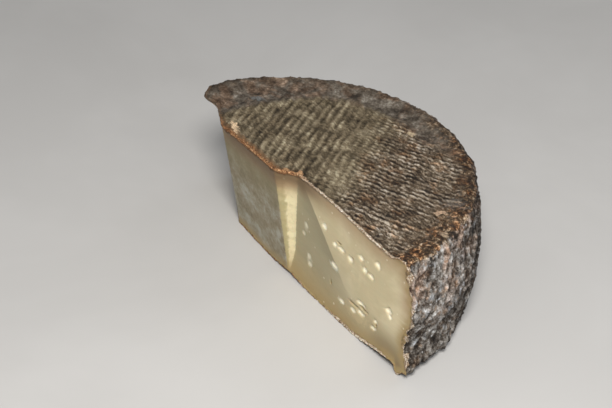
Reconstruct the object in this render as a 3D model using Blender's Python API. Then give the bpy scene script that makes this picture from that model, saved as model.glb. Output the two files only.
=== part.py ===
"""Half of a round, aged goat cheese, resting on its base.

The wheel's axis is +Z and its cut runs along X, facing -Y. The knife came down in two strokes:
the near stroke (+X) is upright, and the far one (-X) leans out at the top, so a narrow step of
paste is left between them in the middle. The far stroke turns away before it meets the rim.

The top carries the print of the straw mat that the wheel dried on, inside a raised lip: ribs all
over it, and a finer weave across them towards +X. The wall has a belly, and beside the near end
of the cut a bulge over a waist. The base stands on a flat ring and a foot ring, with a shallow
hollow between them. Small eyes open in the upright part of the cut.
"""

import math

import bmesh
import bpy
from mathutils import Vector, noise
from mathutils.geometry import delaunay_2d_cdt

MM = 0.001

# Whole wheel, by its round profile
RIM_RADIUS = 95.0 * MM
HEIGHT = 69.0 * MM
WAIST_RADIUS = 97.1 * MM
BELLY = 3.7 * MM
BELLY_HEIGHT = 30.0 * MM
BELLY_SPREAD = 24.0 * MM

# Wall beside the near end of the cut: a bulge under the lip, a waist and a flare above the foot
CORNER_TURN = math.radians(40.0)
BULGE = 5.2 * MM
BULGE_HEIGHT = 43.0 * MM
BULGE_SPREAD = 15.0 * MM
FLARE = 4.0 * MM
FLARE_HEIGHT = 7.0 * MM
FLARE_SPREAD = 9.0 * MM

# Top: a flat middle, a slight dish and the lip
DISH_START = 0.30 * RIM_RADIUS
DISH_END = 0.82 * RIM_RADIUS
DISH_DEPTH = 2.6 * MM
LIP_START = 0.86 * RIM_RADIUS
LIP_RADIUS = 0.985 * RIM_RADIUS
LIP_RISE = 2.2 * MM
LIP_DROP = 4.6 * MM

# Base: a sunk middle, the flat ring it stands on, a hollow, and the foot ring with its bevelled edge
CENTRE_RISE = 2.0 * MM
HOLLOW_PEAK = 0.93 * RIM_RADIUS
CENTRE_END = 0.25 * HOLLOW_PEAK
HOLLOW_START = 0.625 * HOLLOW_PEAK
HOLLOW_RISE = 4.5 * MM
HOLLOW_END = 0.965 * RIM_RADIUS
SOLE_RADIUS = 0.985 * RIM_RADIUS
FOOT_EDGE_RADIUS = 0.997 * RIM_RADIUS
FOOT_BEVEL = 5.5 * MM

# Print of the mat on the top
RIB_PITCH = 4.4 * MM
RIB_DEPTH = 0.9 * MM
RIB_TURN = math.radians(126.0)
WEAVE_PITCH = 3.25 * MM
WEAVE_DEPTH = 0.6 * MM
WEAVE_TURN = math.radians(24.0)
WEAVE_HEADING = math.radians(34.0)
WEAVE_START = 20.0 * MM
WEAVE_END = 55.0 * MM
PRINT_FADE_START = 0.80 * RIM_RADIUS
PRINT_FADE_END = 0.93 * RIM_RADIUS

# Lump of curd on the top beside the far part of the cut, and a dent inside the lip
CURD_PLACE = (-47.7 * MM, 0.7 * MM)
CURD_LENGTH = 7.0 * MM
CURD_WIDTH = 3.5 * MM
CURD_HEIGHT = 1.3 * MM
DENT_PLACE = (12.5 * MM, 83.0 * MM)
DENT_SIZE = 6.0 * MM
DENT_DEPTH = 1.4 * MM

# Cut: the places along it where its direction changes, at the top and at the base
CUT_TOP = [
    (108.0 * MM, 3.4 * MM),
    (7.5 * MM, 3.4 * MM),
    (-2.9 * MM, -4.3 * MM),
    (-55.0 * MM, -3.2 * MM),
    (-108.0 * MM, 22.0 * MM),
]
CUT_BASE = [
    (108.0 * MM, 3.0 * MM),
    (0.6 * MM, 3.3 * MM),
    (-0.8 * MM, 3.7 * MM),
    (-54.8 * MM, 6.8 * MM),
    (-108.0 * MM, 35.7 * MM),
]
CUT_SWAY = 0.5 * MM
CUT_SWAY_LENGTH = 45.0 * MM

# Slanting crease in the upright part: below it the cut turns a little inwards
CREASE_START = (15.6 * MM, 62.0 * MM)
CREASE_END = (55.0 * MM, 20.0 * MM)
CREASE_TILT = 0.07

# Eyes in the cut, by their places along it and above the floor
EYES = [
    (31.2 * MM, 50.9 * MM),
    (45.6 * MM, 45.5 * MM),
    (53.4 * MM, 44.5 * MM),
    (61.9 * MM, 50.5 * MM),
    (65.0 * MM, 45.4 * MM),
    (70.4 * MM, 44.8 * MM),
    (74.9 * MM, 54.6 * MM),
    (84.8 * MM, 33.4 * MM),
    (64.2 * MM, 23.4 * MM),
    (64.0 * MM, 17.8 * MM),
    (57.5 * MM, 15.3 * MM),
    (47.6 * MM, 13.9 * MM),
    (74.4 * MM, 15.2 * MM),
    (41.0 * MM, 32.6 * MM),
    (16.8 * MM, 16.9 * MM),
    (14.3 * MM, 41.1 * MM),
]
EYE_RADIUS = 1.6 * MM
EYE_DEPTH = 1.0 * MM

# Tongue of rind left standing past the cut, at the far end of the lip
TONGUE_REACH = 6.8 * MM
TONGUE_PLACE = -87.0 * MM
TONGUE_WIDTH = 6.0 * MM
TONGUE_HEIGHT = 67.0 * MM
TONGUE_THICKNESS = 5.5 * MM

# Lumps and folds of the wall
LUMP_SIZE = 24.0 * MM
LUMP_HEIGHT = 1.1 * MM
FOLD_SIZE = 9.0 * MM
FOLD_HEIGHT = 0.8 * MM
RIPPLE_COUNT = 46
RIPPLE_HEIGHT = 0.35 * MM

# Mesh steps
COLUMNS = 76
WALL_ROWS = 14
CORNER_ROWS = 3
EDGE_STEP = 3.0 * MM
RIB_SAMPLES = 3
WEAVE_SAMPLES = 2
WEAVE_SHOWS = 0.2
RIB_STRIDE = 4
CUT_STEP = 8.0 * MM
EYE_SIDES = 6
BASE_RINGS = 8
BASE_COLUMNS = 30
CUT_ROWS = 8

RIND_COLOUR = (0.285, 0.235, 0.165, 1.0)
PASTE_COLOUR = (0.690, 0.600, 0.370, 1.0)


def smooth(value, start, end):
    """Rise from 0 at start to 1 at end, level at both."""
    share = min(max((value - start) / (end - start), 0.0), 1.0)
    return share * share * (3.0 - 2.0 * share)


def hill(value, centre, spread):
    """Round hill of height 1."""
    return math.exp(-(((value - centre) / spread) ** 2))


def wall_radius(z, angle):
    """Radius of the wall without its lumps: waisted beside the near cut, else a plain belly."""
    belly = BELLY * hill(z, BELLY_HEIGHT, BELLY_SPREAD)
    waisted = BULGE * hill(z, BULGE_HEIGHT, BULGE_SPREAD) + FLARE * hill(z, FLARE_HEIGHT, FLARE_SPREAD)
    return WAIST_RADIUS + waisted + (belly - waisted) * smooth(angle, 0.0, CORNER_TURN)


def wall_column(angle):
    """Radius and height down the wall at one angle, from the lip's crest to the foot's sole."""
    shoulder = top_form(LIP_RADIUS) - LIP_DROP
    column = []
    for step in range(CORNER_ROWS):
        turn = math.radians(90.0) * step / CORNER_ROWS
        reach = (wall_radius(shoulder, angle) - LIP_RADIUS) * math.sin(turn)
        column.append((LIP_RADIUS + reach, shoulder + LIP_DROP * math.cos(turn)))
    for step in range(WALL_ROWS + 1):
        z = shoulder + (FOOT_BEVEL - shoulder) * step / WALL_ROWS
        column.append((wall_radius(z, angle), z))
    for step in range(1, CORNER_ROWS + 1):
        share = step / CORNER_ROWS
        reach = (wall_radius(FOOT_BEVEL, angle) - FOOT_EDGE_RADIUS) * (1.0 - share)
        column.append((FOOT_EDGE_RADIUS + reach, FOOT_BEVEL * (1.0 - share)))
    return column


def top_form(radius):
    """Height of the top without its ribs."""
    dish = DISH_DEPTH * smooth(radius, DISH_START, DISH_END)
    lip = LIP_RISE * smooth(radius, LIP_START, LIP_RADIUS)
    return HEIGHT - dish + lip


def wave(x, y, turn, pitch):
    """Crest to trough and back over one pitch, for ribs that lie along one direction."""
    across = x * math.sin(turn) - y * math.cos(turn)
    return 0.5 * math.cos(2.0 * math.pi * across / pitch)


def weave_share(x, y):
    """How strongly the fine weave shows, from 0 to 1."""
    ahead = x * math.cos(WEAVE_HEADING) + y * math.sin(WEAVE_HEADING)
    return smooth(ahead, WEAVE_START, WEAVE_END)


def print_height(x, y):
    """Height that the mat's print adds to the top."""
    share = weave_share(x, y)
    patch = 0.75 + 0.5 * noise.noise(Vector((x, y, 0.0)) / LUMP_SIZE)
    ribs = RIB_DEPTH * (1.0 - 0.5 * share) * patch * wave(x, y, RIB_TURN, RIB_PITCH)
    weave = WEAVE_DEPTH * share * wave(x, y, WEAVE_TURN, WEAVE_PITCH)
    fade = 1.0 - smooth(math.hypot(x, y), PRINT_FADE_START, PRINT_FADE_END)
    return (ribs + weave) * fade


def top_height(x, y):
    """Height of the top at a place in plan."""
    swell = 0.5 * LUMP_HEIGHT * noise.noise(Vector((x, y, HEIGHT)) / LUMP_SIZE)
    curd = CURD_HEIGHT * hill(x, CURD_PLACE[0], CURD_LENGTH) * hill(y, CURD_PLACE[1], CURD_WIDTH)
    dent = DENT_DEPTH * hill(x, DENT_PLACE[0], DENT_SIZE) * hill(y, DENT_PLACE[1], DENT_SIZE)
    return top_form(math.hypot(x, y)) + print_height(x, y) + swell + curd - dent


def base_height(radius):
    """Height of the underside above the floor."""
    centre = CENTRE_RISE * (1.0 - smooth(radius, 0.0, CENTRE_END))
    if radius <= HOLLOW_PEAK:
        return centre + HOLLOW_RISE * smooth(radius, HOLLOW_START, HOLLOW_PEAK)
    return HOLLOW_RISE * (1.0 - smooth(radius, HOLLOW_END, SOLE_RADIUS))


def wall_lumps(angle, z):
    """How far lumps, folds and the lip's ripples push the wall out, none at the sole."""
    place = Vector((RIM_RADIUS * math.cos(angle), RIM_RADIUS * math.sin(angle), z))
    lumps = LUMP_HEIGHT * noise.noise(place / LUMP_SIZE)
    slanted = Vector((place.x + 0.8 * z, place.y + 0.8 * z, 0.5 * z))
    folds = FOLD_HEIGHT * noise.noise(slanted / FOLD_SIZE)
    ripples = RIPPLE_HEIGHT * math.sin(RIPPLE_COUNT * angle) * smooth(z, 0.7 * HEIGHT, HEIGHT)
    return (lumps + folds) * smooth(z, 0.0, FOOT_BEVEL) + ripples


def cut_points(z):
    """Corners of the cut in plan at one height, from the near end to the far end."""
    share = min(max(z / HEIGHT, 0.0), 1.0)
    points = []
    for (top_x, top_y), (base_x, base_y) in zip(CUT_TOP, CUT_BASE):
        points.append((base_x + (top_x - base_x) * share, base_y + (top_y - base_y) * share))
    return points


def cut_y(x, z):
    """Place of the cut across the wheel."""
    points = cut_points(z)
    y = points[-1][1]
    for (near_x, near_y), (far_x, far_y) in zip(points, points[1:]):
        if far_x <= x <= near_x:
            y = near_y + (far_y - near_y) * (near_x - x) / (near_x - far_x)
    (start_x, start_z), (end_x, end_z) = CREASE_START, CREASE_END
    run = math.hypot(end_x - start_x, end_z - start_z)
    below = ((end_z - start_z) * (x - start_x) - (end_x - start_x) * (z - start_z)) / run
    fade = smooth(x, points[2][0], points[1][0]) * smooth(z, 0.0, CREASE_END[1])
    crease = CREASE_TILT * max(below, 0.0) * fade
    sway = CUT_SWAY * noise.noise(Vector((x, 0.0, z)) / CUT_SWAY_LENGTH)
    tongue = TONGUE_REACH * hill(x, TONGUE_PLACE, TONGUE_WIDTH) * hill(z, TONGUE_HEIGHT, TONGUE_THICKNESS)
    return y + crease + sway - tongue


def end_angle(radius, z, side):
    """Angle at which the wall meets the cut, on the near side (+1) or the far side (-1)."""
    angle = 0.0 if side > 0 else math.pi
    for _ in range(12):
        y = cut_y(radius * math.cos(angle), z)
        tilt = math.asin(y / radius)
        angle = tilt if side > 0 else math.pi - tilt
    return angle


def add_wall(mesh):
    """Add the wall, and give its rows of vertices from the lip to the sole, near end first."""
    near = wall_column(0.0)
    far = wall_column(math.pi)
    grid = []
    for rank, ((near_radius, z), (far_radius, _)) in enumerate(zip(near, far)):
        start = end_angle(near_radius, z, 1)
        end = end_angle(far_radius, z, -1)
        row = []
        for column in range(COLUMNS + 1):
            angle = start + (end - start) * column / COLUMNS
            reach = wall_column(angle)[rank][0] + wall_lumps(angle, z)
            row.append(mesh.verts.new((reach * math.cos(angle), reach * math.sin(angle), z)))
        grid.append(row)
    for upper, lower in zip(grid, grid[1:]):
        for column in range(COLUMNS):
            mesh.faces.new((upper[column], lower[column], lower[column + 1], upper[column + 1]))
    return grid


def edge_places(corners, first, last, z):
    """Places along the cut from the first vertex to the last, through each change of direction."""
    stops = [first.co.x] + [x for x, _ in corners[1:-1]] + [last.co.x]
    places = []
    for near, far in zip(stops, stops[1:]):
        count = max(1, round((near - far) / EDGE_STEP))
        places += [near + (far - near) * step / count for step in range(count)]
    return [(x, cut_y(x, z)) for x in places[1:]]


def add_edge(mesh, corners, first, last, z, height):
    """Add the vertices of the cut's upper or lower edge, between the ends of the wall."""
    edge = []
    for x, y in edge_places(corners, first, last, z):
        edge.append(mesh.verts.new((x, y, height(x, y))))
    return edge


def inside(loop, x, y, margin):
    """Tell whether a place lies inside a closed outline by more than the margin."""
    crossings = 0
    nearest = margin + 1.0
    for (ax, ay), (bx, by) in zip(loop, loop[1:] + loop[:1]):
        if (ay > y) != (by > y) and x < ax + (bx - ax) * (y - ay) / (by - ay):
            crossings += 1
        run = (bx - ax) ** 2 + (by - ay) ** 2
        share = min(max(((x - ax) * (bx - ax) + (y - ay) * (by - ay)) / run, 0.0), 1.0)
        nearest = min(nearest, math.hypot(ax + share * (bx - ax) - x, ay + share * (by - ay) - y))
    return crossings % 2 == 1 and nearest > margin


def fill(mesh, border, flat, lines, margin, lift, upward):
    """Fill the loop of vertices with triangles through the inner lines.

    flat gives a vertex's place in the plane of the fill, and lift gives a place's point in
    space. Each inner line stays an edge of the surface wherever it lies inside the border.
    """
    outline = [flat(vertex.co) for vertex in border]
    places = [Vector(place) for place in outline]
    vertices = list(border)
    edges = [(index, (index + 1) % len(border)) for index in range(len(border))]
    for line in lines:
        previous = None
        for a, b in line:
            if not inside(outline, a, b, margin):
                previous = None
                continue
            places.append(Vector((a, b)))
            vertices.append(mesh.verts.new(lift(a, b)))
            if previous is not None:
                edges.append((previous, len(places) - 1))
            previous = len(places) - 1
    result = delaunay_2d_cdt(places, edges, [list(range(len(border)))], 1, 1e-7)
    for triangle in result[2]:
        corners = [vertices[result[3][index][0]] for index in triangle]
        a, b, c = (places[result[3][index][0]] for index in triangle)
        turn = (b - a).cross(c - a)
        if (turn > 0.0) != upward:
            corners.reverse()
        mesh.faces.new(corners)


def rib_lines():
    """Lines over the top along the crests and slopes of the ribs, in plan.

    Their points lie where the fine weave crests and dips. Where it is weak, most are left out.
    """
    rib_step = RIB_PITCH / RIB_SAMPLES
    weave_step = WEAVE_PITCH / WEAVE_SAMPLES
    along = Vector((math.cos(RIB_TURN), math.sin(RIB_TURN)))
    across = Vector((math.sin(RIB_TURN), -math.cos(RIB_TURN)))
    weave_across = Vector((math.sin(WEAVE_TURN), -math.cos(WEAVE_TURN)))
    rib_count = math.ceil(RIM_RADIUS / rib_step)
    weave_count = math.ceil(RIM_RADIUS / weave_step)
    lines = []
    for rank in range(-rib_count, rib_count + 1):
        line = []
        for step in range(-weave_count, weave_count + 1):
            base = across * (rib_step * rank)
            slide = (weave_step * step - base.dot(weave_across)) / along.dot(weave_across)
            place = base + along * slide
            kept = weave_share(place.x, place.y) > WEAVE_SHOWS or (step + 2 * (rank % 2)) % RIB_STRIDE == 0
            if kept and place.length < PRINT_FADE_END - 0.5 * MM:
                line.append(tuple(place))
        lines.append(line)
    return lines


def ring_line(radius, columns):
    """Half circle in plan, from the near side over the far side, a little past the cut."""
    turns = [math.radians(200.0) * step / columns - math.radians(10.0) for step in range(columns + 1)]
    return [(radius * math.cos(turn), radius * math.sin(turn)) for turn in turns]


def cut_lines():
    """Lines down each change of the cut's direction, and single places between them."""
    creases = [[], [], []]
    dots = []
    for level in range(1, CUT_ROWS):
        z = HEIGHT * level / CUT_ROWS
        stops = [x for x, _ in cut_points(z)]
        for crease, x in zip(creases, stops[1:-1]):
            crease.append((x, z))
        for near, far in zip(stops, stops[1:]):
            count = max(1, round((near - far) / CUT_STEP))
            places = [(near + (far - near) * step / count, z) for step in range(1, count)]
            dots += [[place] for place in places if eye_distance(*place) > 2.0 * EYE_RADIUS]
    return creases + dots


def eye_distance(x, z):
    """Distance to the middle of the nearest eye."""
    return min(math.hypot(x - eye_x, z - eye_z) for eye_x, eye_z in EYES)


def eye_lines():
    """Ring round each eye's mouth, and its deepest place."""
    lines = []
    for x, z in EYES:
        turns = [2.0 * math.pi * side / EYE_SIDES for side in range(EYE_SIDES)]
        lines.append([(x + EYE_RADIUS * math.cos(turn), z + EYE_RADIUS * math.sin(turn)) for turn in turns])
        lines.append([(x, z)])
    return lines


def cut_surface(x, z):
    """Point of the cut face, with its eyes sunk in."""
    depth = EYE_DEPTH * (1.0 - smooth(eye_distance(x, z), 0.0, EYE_RADIUS))
    return (x, cut_y(x, z) + depth, z)


def build_half_wheel(mesh):
    """Build the closed surface: wall, top, underside and cut."""
    wall = add_wall(mesh)
    crest = wall[0]
    sole = wall[-1]
    upper = add_edge(mesh, CUT_TOP, crest[0], crest[-1], HEIGHT, top_height)
    lower = add_edge(mesh, CUT_BASE, sole[0], sole[-1], 0.0, lambda x, y: base_height(math.hypot(x, y)))

    top_lines = rib_lines() + [ring_line(0.955 * RIM_RADIUS, COLUMNS)]
    fill(mesh, crest + upper[::-1], lambda co: (co.x, co.y), top_lines, 1.2 * MM,
         lambda x, y: (x, y, top_height(x, y)), True)

    radii = [HOLLOW_PEAK * (rank + 1) / BASE_RINGS for rank in range(BASE_RINGS)]
    base_lines = [ring_line(radius, BASE_COLUMNS) for radius in radii]
    base_lines += [ring_line(HOLLOW_END, COLUMNS), ring_line(SOLE_RADIUS, COLUMNS)]
    fill(mesh, sole + lower[::-1], lambda co: (co.x, co.y), base_lines, 0.8 * MM,
         lambda x, y: (x, y, base_height(math.hypot(x, y))), False)

    near_end = [row[0] for row in wall]
    far_end = [row[-1] for row in wall]
    rim = near_end[::-1] + upper + far_end + lower[::-1]
    paste_start = len(mesh.faces)
    fill(mesh, rim, lambda co: (co.x, co.z), cut_lines() + eye_lines(), 1.5 * MM, cut_surface, True)
    mesh.faces.ensure_lookup_table()
    for face in mesh.faces[paste_start:]:
        face.material_index = 1


def material(name, colour, roughness):
    """Plain finish of one colour."""
    made = bpy.data.materials.new(name)
    made.use_nodes = True
    shader = made.node_tree.nodes["Principled BSDF"]
    shader.inputs["Base Color"].default_value = colour
    shader.inputs["Roughness"].default_value = roughness
    shader.inputs["Metallic"].default_value = 0.0
    return made


def stand_on_origin(mesh):
    """Move the half wheel so that the middle of its bounding box's base is the origin."""
    xs = [vertex.co.x for vertex in mesh.verts]
    ys = [vertex.co.y for vertex in mesh.verts]
    middle = Vector((0.5 * (min(xs) + max(xs)), 0.5 * (min(ys) + max(ys)), 0.0))
    bmesh.ops.translate(mesh, vec=-middle, verts=mesh.verts)


def main():
    """Clear the scene and add the half wheel."""
    for item in list(bpy.data.objects):
        bpy.data.objects.remove(item, do_unlink=True)
    mesh = bmesh.new()
    build_half_wheel(mesh)
    stand_on_origin(mesh)
    bmesh.ops.triangulate(mesh, faces=mesh.faces)
    data = bpy.data.meshes.new("half_wheel")
    mesh.to_mesh(data)
    mesh.free()
    data.materials.append(material("rind", RIND_COLOUR, 0.85))
    data.materials.append(material("paste", PASTE_COLOUR, 0.45))
    half_wheel = bpy.data.objects.new("half_wheel", data)
    bpy.context.scene.collection.objects.link(half_wheel)


if __name__ == "__main__":
    main()
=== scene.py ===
"""Half of a round, aged goat cheese, dressed for its picture.

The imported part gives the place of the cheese. One closed mesh of the same form replaces its solid,
fine enough to carry the print of the straw mat, the lip's lumps, the wall's folds, the rind's edge
along the cut and the eyes of the paste. Its vertices also carry the values that the two finishes
read, so that the colours follow the relief.

Forms are worked out in millimetres from the wheel's axis at floor level: +X along the cut to its
near end, -Y out of the cut, +Z up. Meshes are written in metres.
"""
import logging
import math
from collections.abc import Callable, Sequence
from dataclasses import dataclass, field
from enum import Enum
from functools import cache

import bpy
from mathutils import Matrix, Vector, noise
from mathutils.geometry import delaunay_2d_cdt


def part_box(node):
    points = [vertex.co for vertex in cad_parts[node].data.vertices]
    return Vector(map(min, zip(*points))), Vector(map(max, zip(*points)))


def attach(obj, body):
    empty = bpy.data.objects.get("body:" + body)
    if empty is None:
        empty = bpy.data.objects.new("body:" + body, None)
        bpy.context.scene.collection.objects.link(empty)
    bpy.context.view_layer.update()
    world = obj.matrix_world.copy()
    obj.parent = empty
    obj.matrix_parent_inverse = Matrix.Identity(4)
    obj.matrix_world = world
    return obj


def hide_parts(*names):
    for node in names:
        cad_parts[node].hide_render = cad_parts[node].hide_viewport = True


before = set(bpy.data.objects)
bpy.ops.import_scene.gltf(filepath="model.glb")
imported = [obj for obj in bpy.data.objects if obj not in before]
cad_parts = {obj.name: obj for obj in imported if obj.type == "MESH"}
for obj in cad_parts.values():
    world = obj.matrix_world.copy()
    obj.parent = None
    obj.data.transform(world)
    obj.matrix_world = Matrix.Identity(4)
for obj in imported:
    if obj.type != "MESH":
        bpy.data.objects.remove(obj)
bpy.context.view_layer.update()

MM = 0.001
NODE = "half_wheel"
log = logging.getLogger("goat_cheese")

Place = tuple[float, float]
Point = tuple[float, float, float]
Colour = tuple[float, float, float]
Scale = tuple[tuple[float, Colour], ...]
Socket = bpy.types.NodeSocket

# Tint of the rind's edge beside the step, and the stretches along the cut over which that
# edge changes, on the rind and on the paste.
BEAD_TINT: Colour = (0.88, 0.60, 0.38)
EDGE_PALER: Place = (-10.0, 30.0)
EDGE_TINTED: Place = (20.0, 4.0)
EDGE_THICK: Place = (18.0, 4.0)
EDGE_BROWNED: Place = (8.0, -4.0)


class Finish(Enum):
    """The two finishes of the cheese, by the slot that each takes in the mesh."""

    RIND = 0
    PASTE = 1


class Value(Enum):
    """Values kept on the vertices for the finishes."""

    RIB = "rib"
    WEAVE = "weave"
    SHARE = "share"
    WALL = "wall"
    RELIEF = "relief"
    EDGE = "edge"
    DEPTH = "depth"
    EYE = "eye"
    CREASE = "crease"


def smooth(value: float, start: float, end: float) -> float:
    """Rise from 0 at start to 1 at end, level at both.

    Args:
        value: Where the rise is read.
        start: Where it starts.
        end: Where it ends.

    Returns:
        The height of the rise, from 0 to 1.
    """
    share = min(max((value - start) / (end - start), 0.0), 1.0)
    return share * share * (3.0 - 2.0 * share)


def hill(value: float, centre: float, spread: float) -> float:
    """Give the height, up to 1, of a round hill."""
    return math.exp(-(((value - centre) / spread) ** 2))


def rough(x: float, y: float, z: float, size: float) -> float:
    """Give smooth noise from about -1 to 1, whose lumps have the given size."""
    return noise.noise(Vector((x / size, y / size, z / size)))


@dataclass(frozen=True)
class WheelForm:
    """The wheel's round profile: wall, top and underside without any print or lump."""

    rim_radius: float = 95.0
    height: float = 69.0
    waist_radius: float = 97.1
    belly: float = 3.7
    belly_height: float = 30.0
    belly_spread: float = 24.0
    corner_turn: float = math.radians(40.0)
    bulge: float = 5.2
    bulge_height: float = 43.0
    bulge_spread: float = 15.0
    flare: float = 4.0
    flare_height: float = 7.0
    flare_spread: float = 9.0
    dish_depth: float = 2.6
    lip_rise: float = 2.2
    lip_drop: float = 4.6
    centre_rise: float = 2.0
    hollow_rise: float = 4.5
    foot_bevel: float = 5.5

    @property
    def lip_start(self) -> float:
        """Radius at which the lip starts to rise."""
        return 0.86 * self.rim_radius

    @property
    def lip_radius(self) -> float:
        """Radius of the lip's crest."""
        return 0.985 * self.rim_radius

    @property
    def hollow_peak(self) -> float:
        """Radius at which the underside's hollow is highest."""
        return 0.93 * self.rim_radius

    @property
    def hollow_end(self) -> float:
        """Radius at which the underside steps down to the foot ring."""
        return 0.965 * self.rim_radius

    @property
    def sole_radius(self) -> float:
        """Radius at which the foot ring meets the floor."""
        return 0.985 * self.rim_radius

    @property
    def foot_radius(self) -> float:
        """Radius at which the foot ring's bevelled edge starts."""
        return 0.997 * self.rim_radius

    @property
    def shoulder(self) -> float:
        """Height at which the lip's corner meets the wall."""
        return self.top(self.lip_radius) - self.lip_drop

    def wall(self, z: float, angle: float) -> float:
        """Give the wall's radius: waisted beside the near end of the cut, else a plain belly.

        Args:
            z: Height above the floor.
            angle: Angle round the wheel's axis.

        Returns:
            The radius of the wall.
        """
        belly = self.belly * hill(z, self.belly_height, self.belly_spread)
        bulge = self.bulge * hill(z, self.bulge_height, self.bulge_spread)
        flare = self.flare * hill(z, self.flare_height, self.flare_spread)
        turned = smooth(angle, 0.0, self.corner_turn)
        return self.waist_radius + (bulge + flare) * (1.0 - turned) + belly * turned

    def top(self, radius: float) -> float:
        """Give the height of the top.

        Args:
            radius: Distance from the wheel's axis.

        Returns:
            The height above the floor.
        """
        dish = self.dish_depth * smooth(radius, 0.30 * self.rim_radius, 0.82 * self.rim_radius)
        lip = self.lip_rise * smooth(radius, self.lip_start, self.lip_radius)
        return self.height - dish + lip

    def base(self, radius: float) -> float:
        """Give the height of the underside above the floor.

        Args:
            radius: Distance from the wheel's axis.

        Returns:
            The height above the floor.
        """
        centre = self.centre_rise * (1.0 - smooth(radius, 0.0, 0.25 * self.hollow_peak))
        if radius <= self.hollow_peak:
            return centre + self.hollow_rise * smooth(radius, 0.625 * self.hollow_peak, self.hollow_peak)
        return self.hollow_rise * (1.0 - smooth(radius, self.hollow_end, self.sole_radius))


@dataclass(frozen=True)
class MatPrint:
    """Print of the straw mat: coarse ribs all over, and a finer weave across them towards +X."""

    rib_pitch: float = 4.4
    rib_depth: float = 0.9
    rib_turn: float = math.radians(126.0)
    weave_pitch: float = 3.25
    weave_depth: float = 0.75
    weave_turn: float = math.radians(24.0)
    weave_heading: float = math.radians(34.0)
    weave_start: float = 12.0
    weave_end: float = 52.0
    fade_start: float = 75.0
    fade_end: float = 86.0
    wander: float = 7.0
    wander_size: float = 16.0
    near_reach: float = 9.0
    near_angles: Place = (1.05, 1.45)
    gap_depth: float = 0.34
    least_ridge: float = 0.15

    def share(self, x: float, y: float) -> float:
        """Give how strongly the fine weave shows, from 0 to 1.

        Args:
            x: Place along the cut.
            y: Place across the wheel.

        Returns:
            The share of the fine weave.
        """
        wander = self.wander * rough(x, y, 31.0, self.wander_size)
        ahead = x * math.cos(self.weave_heading) + y * math.sin(self.weave_heading) + wander
        return smooth(ahead, self.weave_start, self.weave_end)

    def rib_phase(self, x: float, y: float) -> float:
        """Give the place across the ribs in turns, whole at each crest."""
        across = x * math.sin(self.rib_turn) - y * math.cos(self.rib_turn)
        return across / self.rib_pitch + 0.20 * rough(x, y, 3.0, 24.0) + 0.20 * rough(x, y, 9.0, 6.0)

    def weave_phase(self, x: float, y: float) -> float:
        """Give the place across the fine weave in turns, whole at each crest.

        Neighbouring ribs carry the weave a little out of step, as plaited straw does.

        Args:
            x: Place along the cut.
            y: Place across the wheel.

        Returns:
            The number of turns from the wheel's axis.
        """
        across = x * math.sin(self.weave_turn) - y * math.cos(self.weave_turn)
        rib = math.floor(self.rib_phase(x, y) + 0.5)
        step = 0.16 * (noise.cell(Vector((rib, 7.0, 0.0))) - 0.5)
        turns = across / self.weave_pitch + step
        return turns + 0.16 * rough(x, y, 5.0, 24.0) + 0.08 * rough(x, y, 2.0, 5.0)

    def ridge(self, phase: float) -> float:
        """Give a ridge's height from -0.5 to 0.5, with a broad crest and a narrow groove."""
        return (0.5 + 0.5 * math.cos(2.0 * math.pi * phase)) ** 0.7 - 0.5

    def streak(self, x: float, y: float, turn: float, length: float, width: float) -> float:
        """Give noise drawn out along one direction, from about -1 to 1.

        Args:
            x: Place along the cut.
            y: Place across the wheel.
            turn: Direction of the streaks.
            length: Length of a streak.
            width: Width of a streak.

        Returns:
            The noise.
        """
        along = x * math.cos(turn) + y * math.sin(turn)
        across = x * math.sin(turn) - y * math.cos(turn)
        return noise.noise(Vector((along / length, across / width, 4.0)))

    def height(self, x: float, y: float) -> float:
        """Give the height that the print adds at a place in plan.

        Args:
            x: Place along the cut.
            y: Place across the wheel.

        Returns:
            The height in millimetres.
        """
        share = self.share(x, y)
        whole_ribs = max(self.least_ridge, 0.75 + 0.9 * self.streak(x, y, self.rib_turn, 7.0, 3.0))
        whole_weave = max(self.least_ridge, 0.85 + 0.8 * self.streak(x, y, self.weave_turn, 6.0, 3.0))
        ribs = self.rib_depth * (1.0 - 0.5 * share) * whole_ribs * self.ridge(self.rib_phase(x, y))
        weave = self.weave_depth * (0.15 + 0.85 * share) * whole_weave * self.ridge(self.weave_phase(x, y))
        gaps = self.gap_depth * self.streak(x, y, self.rib_turn, 4.0, 1.4)
        shift = self.near_reach * (1.0 - smooth(math.atan2(y, x), *self.near_angles))
        fade = 1.0 - smooth(math.hypot(x, y) - shift, self.fade_start, self.fade_end)
        return (ribs + weave + gaps) * fade


@dataclass(frozen=True)
class Bump:
    """A lump (or, with a negative height, a dent) at a place on the top."""

    place: Place
    length: float
    width: float
    height: float
    turn: float = 0.0

    def at(self, x: float, y: float) -> float:
        """Give the height that the lump adds at a place in plan.

        Args:
            x: Place along the cut.
            y: Place across the wheel.

        Returns:
            The height in millimetres.
        """
        dx, dy = x - self.place[0], y - self.place[1]
        along = dx * math.cos(self.turn) + dy * math.sin(self.turn)
        across = dy * math.cos(self.turn) - dx * math.sin(self.turn)
        return self.height * hill(along, 0.0, self.length) * hill(across, 0.0, self.width)


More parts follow.
